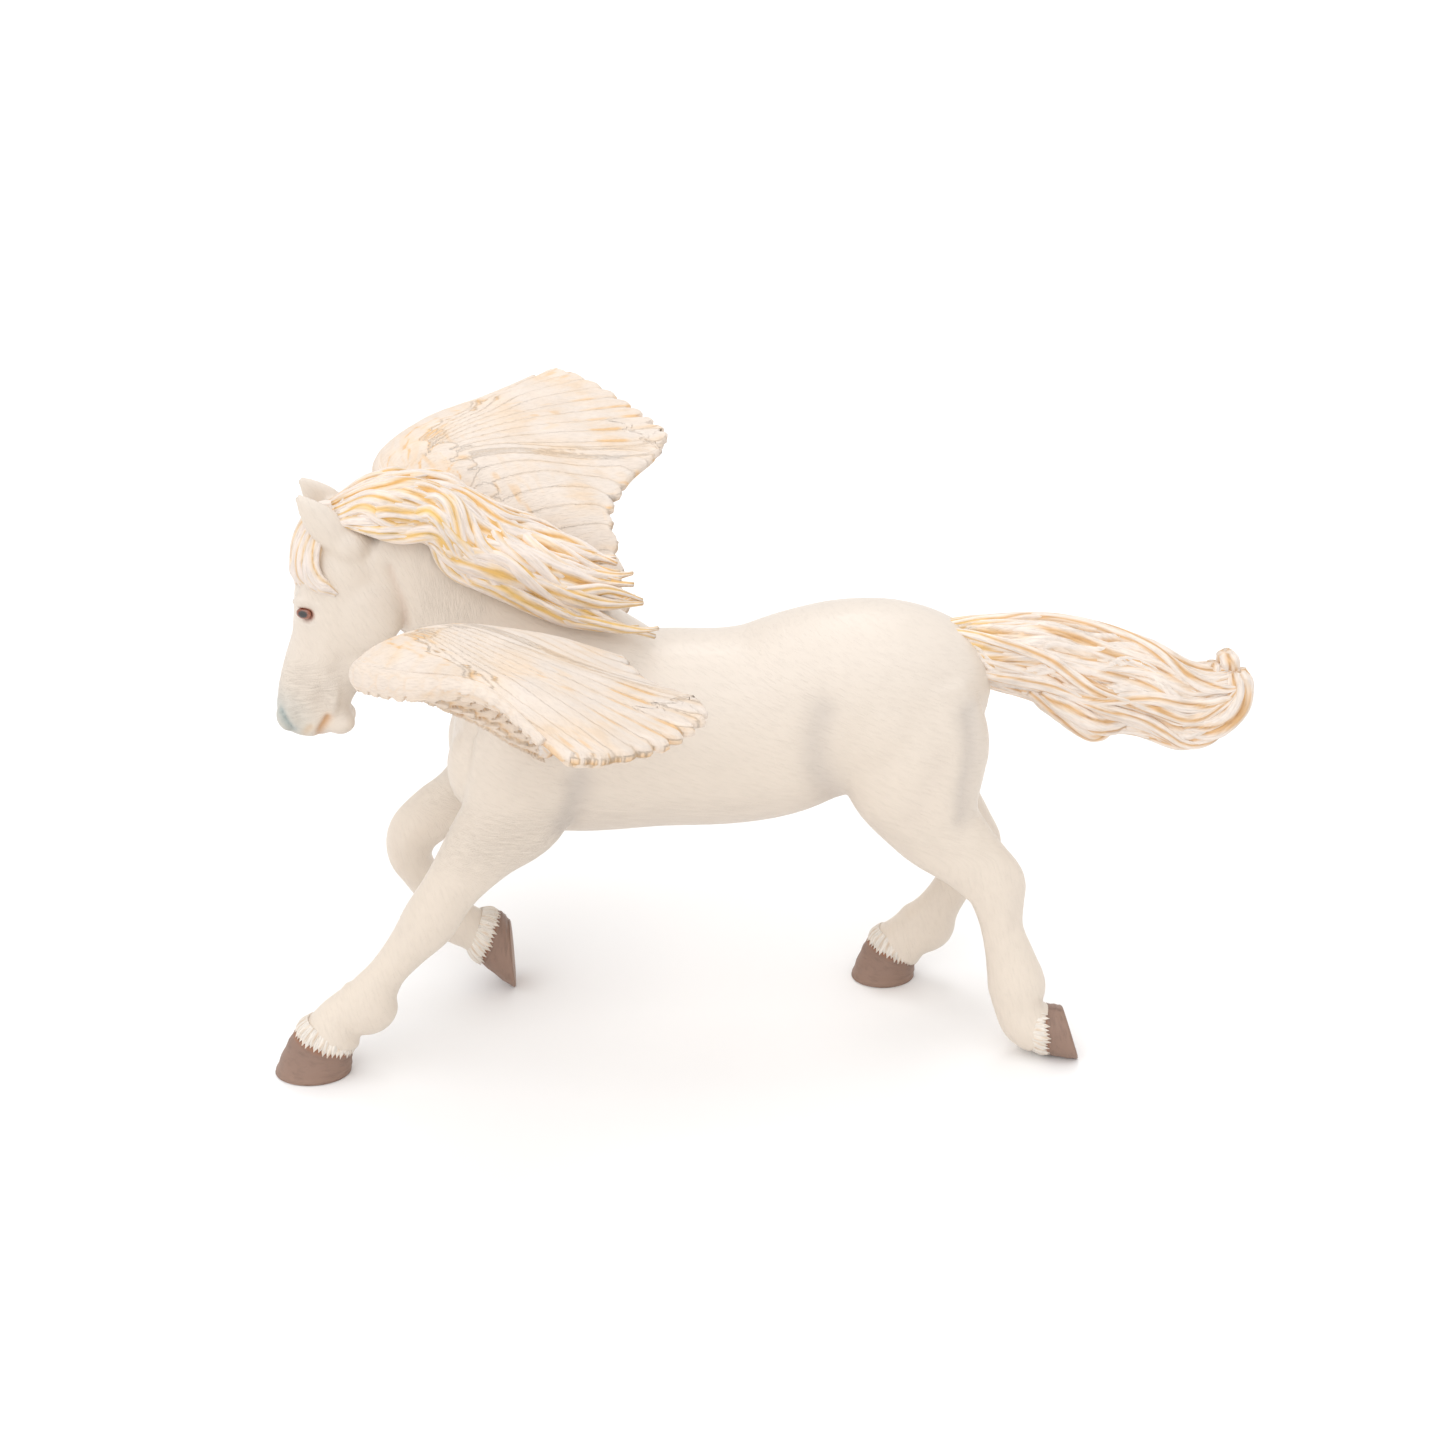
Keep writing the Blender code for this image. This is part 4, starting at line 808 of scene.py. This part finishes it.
def wing_surface(span, chord):
    """Points of the middle surface; past its two free edges it runs straight on."""
    rows, columns = WING_TABLE.shape[:2]
    across = np.clip(span, 0.0, 1.0) * (rows - 1)
    along = np.clip(chord, 0.0, 1.0) * (columns - 1)
    row = np.minimum(across.astype(int), rows - 2)
    column = np.minimum(along.astype(int), columns - 2)
    s = (across - row)[..., None]
    t = (along - column)[..., None]
    near, far = [WING_TABLE[line, column] * (1 - t) + WING_TABLE[line, column + 1] * t
                 for line in (row, row + 1)]
    point = near * (1 - s) + far * s
    point = point + TIP_SLOPE[column] * np.maximum(span - 1, 0)[..., None]
    return point + REAR_SLOPE[row] * np.maximum(chord - 1, 0)[..., None]


def edge_slopes():
    """Directions in which the feathers run on past the tip line and the trailing edge."""
    rows, columns = WING_TABLE.shape[:2]
    chord = np.linspace(0.0, 1.0, columns)
    span = np.linspace(0.0, 1.0, rows)
    roots = WING_TABLE[((0.52 - 0.04 * chord) * (rows - 1)).astype(int),
                       ((0.05 + 0.41 * chord) * (columns - 1)).astype(int)]
    tip = WING_TABLE[-1] - roots
    share = np.clip((span - 0.03) / 0.91, 0.0, 1.0)
    roots = WING_TABLE[((0.08 + 0.52 * share) * (rows - 1)).astype(int),
                       int(0.36 * (columns - 1))]
    rear = WING_TABLE[:, -1] - roots
    return [60.0 * run / np.linalg.norm(run, axis=1, keepdims=True) for run in (tip, rear)]


TIP_SLOPE, REAR_SLOPE = edge_slopes()


def wing_chart(points):
    """Flatten a sheet of wing points: x, and the length along the span."""
    steps = np.linalg.norm(np.diff(points[..., 1:], axis=0), axis=2)
    length = np.concatenate([np.zeros((1, points.shape[1])), np.cumsum(steps, axis=0)])
    return np.stack([points[..., 0], length], axis=2)


def feather_list(face):
    """Feathers as root and tip (span, chord), reach past the tip, width, lift and thickness."""
    feathers = []
    for index in range(PRIMARIES):
        share = index / (PRIMARIES - 1)
        feathers.append(((0.50 - 0.04 * share, 0.03 + 0.43 * share), (1.0, 0.05 + 0.93 * share),
                         0.7, 5.2, 0.0, 0.34))
    for index in range(INNER_PRIMARIES):
        feathers.append(((0.455 - 0.005 * index, 0.455), (0.975 - 0.045 * index, 1.0), 0.9, 5.6,
                         0.0, 0.34))
    for index in range(SECONDARIES):
        share = (index + 0.5) / SECONDARIES
        feathers.append(((0.05 + 0.41 * share, 0.36), (0.03 + 0.79 * share, 1.0), 1.4, 7.0,
                         0.0, 0.34))
    rows = [(13, 0.24, 0.52, 6.4, 0.12), (15, 0.12, 0.38, 5.6, 0.17), (18, 0.02, 0.25, 4.8, 0.20)]
    if face < 0:
        rows = [(15, 0.30, 0.62, 5.6, 0.30), (18, 0.16, 0.42, 4.6, 0.50),
                (22, 0.02, 0.26, 3.9, 0.70)]
    for row, (count, start, end, width, lift) in enumerate(rows):
        for index in range(count):
            share = (index + 0.5 * (row % 2) + 0.25) / count
            span = 0.02 + 0.86 * share
            narrow = 1.0 - 0.45 * share
            feathers.append(((span - 0.03, start * narrow),
                             (span + 0.03 + 0.07 * share, end * narrow), 0.6, width, lift,
                             0.11 if face > 0 else 0.25))
    return feathers


def carve_feathers(chart, root_chart, face):
    """Height, place along and across its feather, feather number and share, per point."""
    best = np.zeros((5,) + chart.shape[:2])
    best[0] = BARE
    for number, (root, tip, over, width, lift, thick) in enumerate(feather_list(face)):
        start = root_chart(*root)
        end = root_chart(*tip)
        run = np.linalg.norm(end - start)
        heading = (end - start) / run
        length = run + over
        offset = chart - start
        u = offset @ heading
        v = offset @ np.array([-heading[1], heading[0]])
        blunt = 0.55 * width
        past = np.clip((u - (length - blunt)) / blunt, 0.0, 1.0)
        half = 0.5 * width * np.sqrt(np.maximum(1 - past ** 2, 0.0)) * (0.8 + 0.2 * fade(u, 0, 6))
        inside = (u > 0) & (u < length) & (np.abs(v) < half)
        w = v / (0.5 * width)
        rise = lift * (0.4 + 0.6 * fade(u / length, 0.0, 0.6)) + thick * u / length
        rise = rise + (0.4 * thick + 0.02) * (1 - w ** 2) + 0.4 * thick * w
        rise = rise + 0.3 * thick * np.exp(-(v / 0.28) ** 2) * (1 - 0.7 * u / length)
        rise = rise - 0.3 * thick * np.clip(1 - (half - np.abs(v)) / 0.6, 0, 1) ** 2
        found = np.stack([rise, u, v, 0 * u + number + 1, u / length])
        best = np.where(inside & (rise > best[0]), found, best)
    return best


def blur(values, reach):
    """Mean over a square of neighbours, done along one side after the other."""
    for axis in (0, 1):
        padded = np.concatenate([np.repeat(values.take([0], axis), reach, axis), values,
                                 np.repeat(values.take([-1], axis), reach, axis)], axis)
        total = 0
        for step in range(2 * reach + 1):
            total = total + padded.take(range(step, step + values.shape[axis]), axis)
        values = total / (2 * reach + 1)
    return values


def run_on(covered, places):
    """The place along the first axis, past its middle, where unbroken cover ends."""
    start = 0.7
    return start + np.cumprod(covered[places > start], axis=0).sum(axis=0) * (places[1] - places[0])


def wing_outline():
    """How far the feathers reach past the tip line and the trailing edge, as shares."""
    span = np.linspace(0.0, 1.0 + OVERSHOOT, OUTLINE_ROWS)
    chord = np.linspace(0.0, 1.0 + OVERSHOOT, OUTLINE_COLUMNS)
    spans, chords = np.meshgrid(span, chord, indexing="ij")
    chart = wing_chart(wing_surface(spans, chords))

    def chart_point(s, c):
        row = s / (1.0 + OVERSHOOT) * (len(span) - 1)
        column = c / (1.0 + OVERSHOOT) * (len(chord) - 1)
        return chart[int(round(row)), int(round(column))]

    covered = carve_feathers(chart, chart_point, 1)[0] > BARE
    tip = 1 + (np.clip(run_on(covered, span), 0.985, 1.035) - 1) * (1 - fade(chord, 0.92, 1.0))
    rear = 1 + (np.clip(run_on(covered.T, chord), 0.985, 1.035) - 1) * (1 - fade(span, 0.86, 0.98))
    rear = rear - 0.05 * fade(span, 0.92, 1.0) ** 2
    tip = tip - 0.025 * fade(chord, 0.92, 1.0) ** 2
    return span, chord, tip, rear, chart_point


OUTLINE_SPAN, OUTLINE_CHORD, TIP_REACH, REAR_REACH, CHART_POINT = wing_outline()


def wing(side, name, material):
    """A carved sheet with scalloped edges, and a rolled leading edge of small plumage."""
    piece = Piece()
    span = np.linspace(0.0, 1.0, SHEET_ROWS)
    chord = np.linspace(0.0, 1.0, SHEET_COLUMNS)
    spans, chords = np.meshgrid(span, chord, indexing="ij")
    tip = np.interp(chords, OUTLINE_CHORD, TIP_REACH)
    rear = np.interp(spans, OUTLINE_SPAN, REAR_REACH)
    spans = spans + (tip - 1.0) * fade(spans, 0.55, 1.0)
    chords = chords + (rear - 1.0) * fade(chords, 0.55, 1.0)
    middle = wing_surface(spans, chords)
    normals = grid_normals(middle)
    if normals[SHEET_ROWS // 2, SHEET_COLUMNS // 2, 2] < 0:
        normals = -normals
    chart = wing_chart(middle)
    swell = np.maximum(edge_radius(np.clip(spans, 0, 1)) - 1.2, 0.0)
    swell = swell * (0.8 + 0.2 * fade(chords, 0.0, 0.03)) * (1 - fade(chords, 0.06, 0.36))
    front = 1 - 0.65 * fade(spans, 0.55, 0.9) * (1 - fade(chords, 0.0, 0.035))
    edge = fade(1 - np.maximum(span[:, None], chord[None, :]), 0.0, 0.012)
    sheets = []
    flight = PRIMARIES + INNER_PRIMARIES + SECONDARIES
    for face in (1, -1):
        height, along, across, owner, place = carve_feathers(chart, CHART_POINT, face)
        covered = height > BARE
        height = np.where(covered, height, 0.3)
        soft = blur(height, 1 if face < 0 else 2)
        if face > 0:
            flat = np.maximum(0.75 * (1 - fade(chords, 0.06, 0.40)),
                              fade(spans + chords, 1.86, 1.96))
            soft = soft + (blur(soft, 8) - soft) * flat
        deep = np.maximum(blur(soft, 4), 0.35 * soft + 0.65 * blur(soft, 9)) - soft
        cavity = np.where(covered, deep, 0.0)
        thick = 0.42 + 0.25 * (1 - chords) * fade(chords, 0.0, 0.05)
        thick = thick + (1.0 if face > 0 else 0.5) * swell
        out = face * (thick + soft) * (0.35 + 0.65 * edge) * front
        points = middle + normals * out[..., None]
        blots = field(along / 3.0 + owner, across / 1.2, 31 + face)
        patch = field(chart[..., 0] / 6.0, chart[..., 1] / 6.0, 41 + face)
        border = (owner != np.roll(owner, 1, axis=0)) | (owner != np.roll(owner, 1, axis=1))
        # The lower face's stronger outlines are part of its painted shade.
        border = fade(blur(border.astype(float), 1), 0.1, 0.6) * (0.6 if face > 0 else 0.9)
        border = border * np.where(owner > flight, fade(place, 0.45, 0.9), 0.8)
        border = np.clip(border * np.where((owner > flight) & (face > 0), 1.8, 1.0), 0, 1)
        streak = field(across / 0.7 + 3 * owner, along / 3.5, 61 + face)
        wash = np.maximum(fade(cavity, 0.004, 0.07), border)
        wash = wash * np.clip(0.70 + 0.65 * patch + 0.4 * blots, 0, 1)
        wash = np.maximum(wash, 0.42 * fade(0.8 * patch + 0.9 * streak, 0.25, 1.2))
        dashes = fade(field(30 * chords / 0.9, 60 * spans / 1.9, 91 + face), 0.25, 0.75)
        dashes = dashes * fade(field(30 * chords / 6, 60 * spans / 6, 93 + face), -0.5, 0.5)
        wash = np.maximum(wash, 0.62 * dashes * (1 - 0.6 * fade(chords, 0.5, 0.9)))
        paint = mix(FEATHER_LIGHT, FEATHER_PEACH, 0.12 + 0.16 * patch + 0.14 * blots)
        paint = mix(paint, FEATHER_PEACH, wash)
        # Painted shade: the lower face takes more orange and brown in its hollows than the upper
        # face, over the orange wash paint that both faces share.
        paint = mix(paint, FEATHER_ORANGE, fade(wash, 0.35, 0.9) * (0.75 if face > 0 else 0.9))
        if face < 0:
            paint = mix(paint, FEATHER_SHADE_BROWN, fade(cavity * (1 + 0.6 * blots), 0.10, 0.22) * 0.8)
        paint = mix(paint, FEATHER_WHITE, fade(-cavity, 0.01, 0.10) * 0.6)
        single = (owner > 0) & (owner <= flight)
        flow = np.stack(np.where(single, (along, across, 9 * owner),
                                 (30 * chords, 60 * spans, 0 * owner)), axis=2)
        sheets.append((points, paint, flow))
    stitch(piece, sheets, side)
    leading_edge(piece, side)
    piece.finish(name, material)


def stitch(piece, sheets, side):
    """Close an upper and a lower grid into one sheet."""
    grid = np.arange(SHEET_ROWS * SHEET_COLUMNS).reshape(SHEET_ROWS, SHEET_COLUMNS)
    shift = grid.size
    upper = np.stack([grid[:-1, :-1], grid[:-1, 1:], grid[1:, 1:], grid[1:, :-1]], axis=2)
    upper = upper.reshape(-1, 4)
    lower = upper[:, [0, 3, 2, 1]] + shift
    rim = np.concatenate([grid[0, :-1], grid[:-1, -1], grid[-1, :0:-1], grid[:0:-1, 0]])
    following = np.roll(rim, -1)
    wall = np.stack([following, rim, rim + shift, following + shift], axis=1)
    points, paint, flow = [np.concatenate(values).reshape(-1, 3) for values in zip(*sheets)]
    faces = np.concatenate([upper, lower, wall]).tolist()
    piece.add(points * (1, side, 1), faces, paint, flow)


def scales(along, across, row_step, width):
    """Height from 0 to 1 of round-ended scales in staggered rows, rising to their tips."""
    rows = int(np.max(along) / row_step) + 2
    start = np.full(along.shape, -row_step)
    end = np.full(along.shape, 1e9)
    for row in range(rows + 1):
        v = 2 * ((across / width + 0.5 * (row % 2)) % 1.0) - 1
        border = (row - 0.3) * row_step + 0.75 * row_step * np.sqrt(np.maximum(1 - v ** 2, 0.0))
        before = (border <= along) & (border > start)
        start = np.where(before, border, start)
        end = np.where((border > along) & (border < end), border, end)
    end = np.where(end > 1e8, start + row_step, end)
    return np.clip((along - start) / np.maximum(end - start, 0.2), 0, 1)


def edge_radius(share):
    """Radius of the rounded front of the wing from its root to its tip."""
    radius = WING_EDGE * (0.72 + 0.9 * share * (1 - share) - 0.24 * share)
    return radius * (1 - 0.60 * fade(share, 0.70, 1.0)) * (0.55 + 0.45 * fade(share, 0.0, 0.12))


def leading_edge(piece, side):
    """A rounded band of short plumage along the front of the wing."""
    steps = 230
    count = 64
    share = np.linspace(0.0, 0.97, steps)
    inner = 1 - fade(share, 0.6, 0.95)
    path = wing_surface(share, 0.03 * inner) - 0.3 * inner[:, None] * np.array([0.0, 0.0, 1.0])
    tangents = unit(np.gradient(path, axis=0))
    front = square_to(path - wing_surface(share, np.full(steps, 0.30)), tangents)
    up = np.cross(front, tangents)
    up *= np.sign(up[steps // 2, 2])
    radius = edge_radius(share)
    angles = ring_angles(count)[None, :]
    along = path_lengths(path)[:, None] * np.ones((1, count))
    back = np.abs((angles - 0.25 * math.pi + math.pi) % (2 * math.pi) - math.pi)
    round_way = back * radius[:, None]
    jitter = 0.8 * field(along / 2.6, round_way / 2.6, 77)
    height = scales(round_way + jitter, along + 0.8 * round_way + jitter, 2.7, 3.2)
    under = fade(-np.sin(angles), -0.35, 0.40) * np.ones(height.shape)
    amount = 0.05 + 0.75 * under
    reach = radius[:, None] + amount * (height - 0.8)
    rings = (path[:, None, :] + (np.cos(angles) * reach)[..., None] * front[:, None, :]
             + (np.sin(angles) * reach)[..., None] * up[:, None, :])
    low = 1 - height
    # Painted shade: the underside of the rounded edge is painted more peach, with denser and
    # browner dots, than its top; the dots are wash paint in the hollows between scales.
    paint = mix(FEATHER_LIGHT, FEATHER_PEACH,
                0.10 + 0.25 * under + 0.5 * fade(low, 0.4, 1.0) * (0.25 + under))
    dots = fade(low, 0.72, 1.0) * fade(field(along / 1.3, round_way / 1.1, 71), -0.35, 0.4)
    paint = mix(paint, FEATHER_ORANGE, dots * (0.15 + 0.85 * under))
    paint = mix(paint, FEATHER_SHADE_BROWN, fade(dots, 0.5, 1.0) * under * 0.75)
    flow = np.stack([along, round_way, np.full(along.shape, 3.0)], axis=2)
    piece.add_rings(rings * (1, side, 1), paint, flow)


# Hooves, their hair fringe and eyes


# Rows as in stack(), from each coronet to its sole; half sizes as shares of the hoof's own
HOOVES = {
    "hoof_fore_left": [
        (-73.6, -13.2, 7.4, 0.78, 0.86, -24), (-74.6, -13.2, 5.4, 0.86, 0.92, -19),
        (-76.2, -13.1, 0.9, 1, 1, -2), (-76.4, -13.1, 0, 1.01, 1, 0)],
    "hoof_hind_right": [
        (34, 12.1, 6.8, 0.72, 0.78, -26), (33.3, 12.2, 5, 0.78, 0.84, -20),
        (32.2, 12.3, 0.9, 0.87, 0.94, -2), (32.1, 12.3, 0, 0.89, 0.95, 0)],
    "hoof_hind_left": [
        (57.8, -16.2, 5.2, 0.68, 0.84, 92), (59.4, -16.3, 4.9, 0.73, 0.90, 96),
        (62.9, -16.5, 4.3, 0.77, 0.98, 106), (63.5, -16.5, 4.3, 0.71, 0.92, 107)],
    "hoof_fore_right": [
        (-44.6, 14.1, 11.2, 0.78, 0.84, 66), (-43.2, 14.2, 10.3, 0.85, 0.90, 72),
        (-40, 14.4, 7, 1.03, 1.02, 92), (-39.4, 14.4, 7, 0.97, 0.96, 93)],
}


def hoof(name, rows, hoof_material, fringe):
    """A hoof with growth rings, and tufts of hair over its coronet."""
    table = smooth_rows(rows, 8) * (1, 1, 1, HOOF_LENGTH / 2, HOOF_WIDTH / 2, 1)
    grown = []
    paint = []
    count = 40
    for index, row in enumerate(table):
        place = index / (len(table) - 1)
        ring = 1.0 + 0.012 * math.sin(place * 38.0) - 0.05 * fade(place, 0.95, 1.0)
        grown.append(row * (1, 1, 1, ring, ring, 1))
        tone = mix(HOOF_DARK, HOOF_TAUPE, 0.35 + 0.65 * place)
        tone = mix(tone, MOUTH_BROWN, 0.75 * (1 - fade(place, 0.05, 0.30)))
        paint.append(np.tile(tone, (count, 1)))
    rings = stack(grown, count=count)
    rings[..., 2] = np.maximum(rings[..., 2], 0.0)
    piece = Piece()
    flow = np.zeros(rings.shape)
    flow[..., 0] = np.linspace(0, 8, len(rings))[:, None]
    flow[..., 1] = 0.8 * np.arange(count)
    piece.add_rings(rings, paint, flow)
    piece.finish(name, hoof_material)
    coronet = rings[1]
    centre = coronet.mean(axis=0)
    sole = rings[-1].mean(axis=0)
    axis = unit(sole - centre)
    tufts = 60
    for number in range(tufts):
        spot = coronet[int(number * count / tufts)]
        out = unit(spot - centre)
        reach = 1.5 + 0.8 * math.sin(number * 2.7)
        base = centre + (spot - centre) * 0.78 - axis * 2.8
        tip = centre + (spot - centre) * 1.03 + axis * (reach * 0.5) + out * 0.1
        middle = (base + tip) / 2 + out * 0.3
        path = smooth_rows([base, middle, tip], 6)
        size = 0.52 * taper(np.linspace(0.0, 1.0, len(path)), 0.8, 0.15)
        carved_lock(fringe, path, out, size, 0.6 * size, number * 1.1, FRINGE_TONES, lobes=3,
                    twist=0.3, count=12)


def eye(side, name, material):
    """A glossy dark eyeball with a raised rim."""
    piece = Piece()
    centre = np.array([EYE[0], side * EYE[1], EYE[2]])
    out = unit(np.array([-0.35, side * 1.0, 0.10]))
    fore = unit(np.cross((0.0, 0.0, 1.0), out))
    up = np.cross(out, fore)
    rings = []
    paint = []
    count = 28
    steps = 12
    for index in range(1, steps):
        angle = math.pi * index / steps
        half = math.sin(angle)
        rings.append(ellipse(centre + out * 0.62 * math.cos(angle), fore, up,
                             1.4 * half, 1.03 * half, count))
        front = fade(math.cos(angle), 0.68, 0.78)
        paint.append(np.tile(mix(RIM_BROWN, (0.008, 0.006, 0.006), front), (count, 1)))
    piece.add_rings(rings, paint, np.zeros((steps - 1, count, 3)))
    piece.finish(name, material)


# Materials: paint from the points, fine relief and gloss from nodes


def painted(name, roughness, streak, relief, mottle, cloud=0.05, coat=0.0):
    """Paint with streaks that follow the flow, clouding, fine relief and uneven gloss."""
    material = bpy.data.materials.new(name)
    material.use_nodes = True
    tree = material.node_tree

    def feed(target, inputs):
        for key, value in inputs.items():
            if isinstance(value, bpy.types.NodeSocket):
                tree.links.new(value, target.inputs[key])
            else:
                target.inputs[key].default_value = value

    def node(kind, inputs, **settings):
        made = tree.nodes.new("ShaderNode" + kind)
        for key, value in settings.items():
            setattr(made, key, value)
        feed(made, inputs)
        return made.outputs

    def spread(source, low, high, start=0.0, end=1.0):
        return node("MapRange", {"Value": source, "From Min": start, "From Max": end,
                                 "To Min": low, "To Max": high})["Result"]

    paint = node("Attribute", {}, attribute_name="paint")["Color"]
    flow = node("Attribute", {}, attribute_name="flow")["Vector"]
    place = node("TexCoord", {})["Object"]
    stretch = node("Mapping", {"Vector": flow, "Scale": streak})["Vector"]
    fibres = node("TexNoise", {"Vector": stretch, "Scale": 1.0, "Detail": 3.0,
                               "Roughness": 0.6})["Fac"]
    blots = node("TexNoise", {"Vector": place, "Scale": 0.18 * GRAIN, "Detail": 4.0})["Fac"]
    pores = node("TexNoise", {"Vector": place, "Scale": GRAIN, "Detail": 2.0})["Fac"]
    dark = spread(fibres, 1.0 - mottle, 1.0, 0.30, 0.52)
    cloudy = spread(blots, 1.0 - cloud, 1.0 + 0.5 * cloud, 0.3, 0.7)
    product = node("Math", {0: dark, 1: cloudy}, operation="MULTIPLY")["Value"]
    tinted = node("Mix", {"Factor": 1.0, "A": paint, "B": product}, data_type="RGBA",
                  blend_type="MULTIPLY")["Result"]
    gloss = spread(blots, roughness - 0.10, roughness + 0.14)
    height = node("Math", {0: pores, 1: 0.04, 2: dark}, operation="MULTIPLY_ADD")["Value"]
    bump = node("Bump", {"Strength": 1.0, "Distance": relief, "Height": height})["Normal"]
    feed(tree.nodes["Principled BSDF"], {"Base Color": tinted, "Roughness": gloss,
                                         "Normal": bump, "Coat Weight": coat,
                                         "Coat Roughness": 0.15})
    return material


def floor():
    """A plain pale ground under the hooves."""
    mesh = bpy.data.meshes.new("ground")
    corners = [(-GROUND, -GROUND, 0), (GROUND, -GROUND, 0), (GROUND, GROUND, 0),
               (-GROUND, GROUND, 0)]
    mesh.from_pydata(corners, [], [(0, 1, 2, 3)])
    material = bpy.data.materials.new("pale_ground")
    material.use_nodes = True
    shader = material.node_tree.nodes["Principled BSDF"]
    shader.inputs["Base Color"].default_value = (0.93, 0.925, 0.925, 1.0)
    shader.inputs["Roughness"].default_value = 0.9
    mesh.materials.append(material)
    shown("ground", mesh)


def lamp(kind, name, place, target, **settings):
    """A lamp at a place, turned to a target."""
    light = bpy.data.lights.new(name, kind)
    for key, value in settings.items():
        setattr(light, key, value)
    item = shown(name, light)
    item.location = place
    item.rotation_euler = (Vector(target) - Vector(place)).to_track_quat("-Z", "Y").to_euler()


def lights():
    """Even white surroundings, soft light from above and from the viewer, and a softbox."""
    lamp("SUN", "overhead", (-0.2, -0.3, 1.0), (0, 0, 0), energy=1.00, angle=math.radians(70))
    lamp("SUN", "viewer", (-0.45, -1.0, 0.35), (0, 0, 0), energy=0.66, angle=math.radians(80))
    lamp("AREA", "softbox", (0.05, 0.25, 0.60), (0, 0, 0.06), energy=0.60, size=0.20)
    world = bpy.data.worlds.new("studio")
    world.use_nodes = True
    backdrop = world.node_tree.nodes["Background"]
    backdrop.inputs["Color"].default_value = (1.0, 1.0, 1.0, 1.0)
    backdrop.inputs["Strength"].default_value = 0.86
    bpy.context.scene.world = world
    bpy.context.scene.view_settings.view_transform = "Standard"


def camera():
    """A camera at the photograph's angle, aimed by its azimuth, elevation and distance."""
    azimuth = math.radians(-4.0)
    elevation = math.radians(27.0)
    distance = 0.5
    forward = Vector((-math.sin(azimuth) * math.cos(elevation),
                      math.cos(azimuth) * math.cos(elevation), -math.sin(elevation)))
    right = Vector((math.cos(azimuth), math.sin(azimuth), 0.0))
    up = right.cross(forward)
    target = Vector(placed([0.0, 0.0, 62.5]))
    place = target - forward * distance
    lens = bpy.data.cameras.new("camera")
    lens.sensor_width = 36.0
    lens.lens = 69.26
    lens.clip_start = 0.01
    lens.clip_end = 50.0
    item = shown("camera", lens)
    item.matrix_world = Matrix(((right.x, up.x, -forward.x, place.x),
                                (right.y, up.y, -forward.y, place.y),
                                (right.z, up.z, -forward.z, place.z), (0, 0, 0, 1)))
    bpy.context.scene.camera = item


coat_paint = painted("coat_paint", 0.38, (0.42, 2.6, 0.7), 0.0009, 0.04, cloud=0.015)
hair_paint = painted("hair_paint", 0.60, (0.35, 3.6, 1.0), 0.0008, 0.10, cloud=0.08)
feather_paint = painted("feather_paint", 0.58, (0.7, 3.4, 1.0), 0.0007, 0.07)
hoof_paint = painted("hoof_paint", 0.50, (1.5, 0.4, 1.0), 0.0004, 0.16)
eye_paint = painted("eye_paint", 0.14, (1.0, 1.0, 1.0), 0.0, 0.0, coat=1.0)

body(coat_paint)
mane(hair_paint)
forelock(hair_paint)
tail(hair_paint)
wing(LEFT, "wing_left", feather_paint)
wing(RIGHT, "wing_right", feather_paint)
fringe = Piece()
for hoof_name, hoof_table in HOOVES.items():
    hoof(hoof_name, hoof_table, hoof_paint, fringe)
fringe.finish("hoof_hair", hair_paint)
eye(LEFT, "eye_left", eye_paint)
eye(RIGHT, "eye_right", eye_paint)
floor()
lights()
camera()
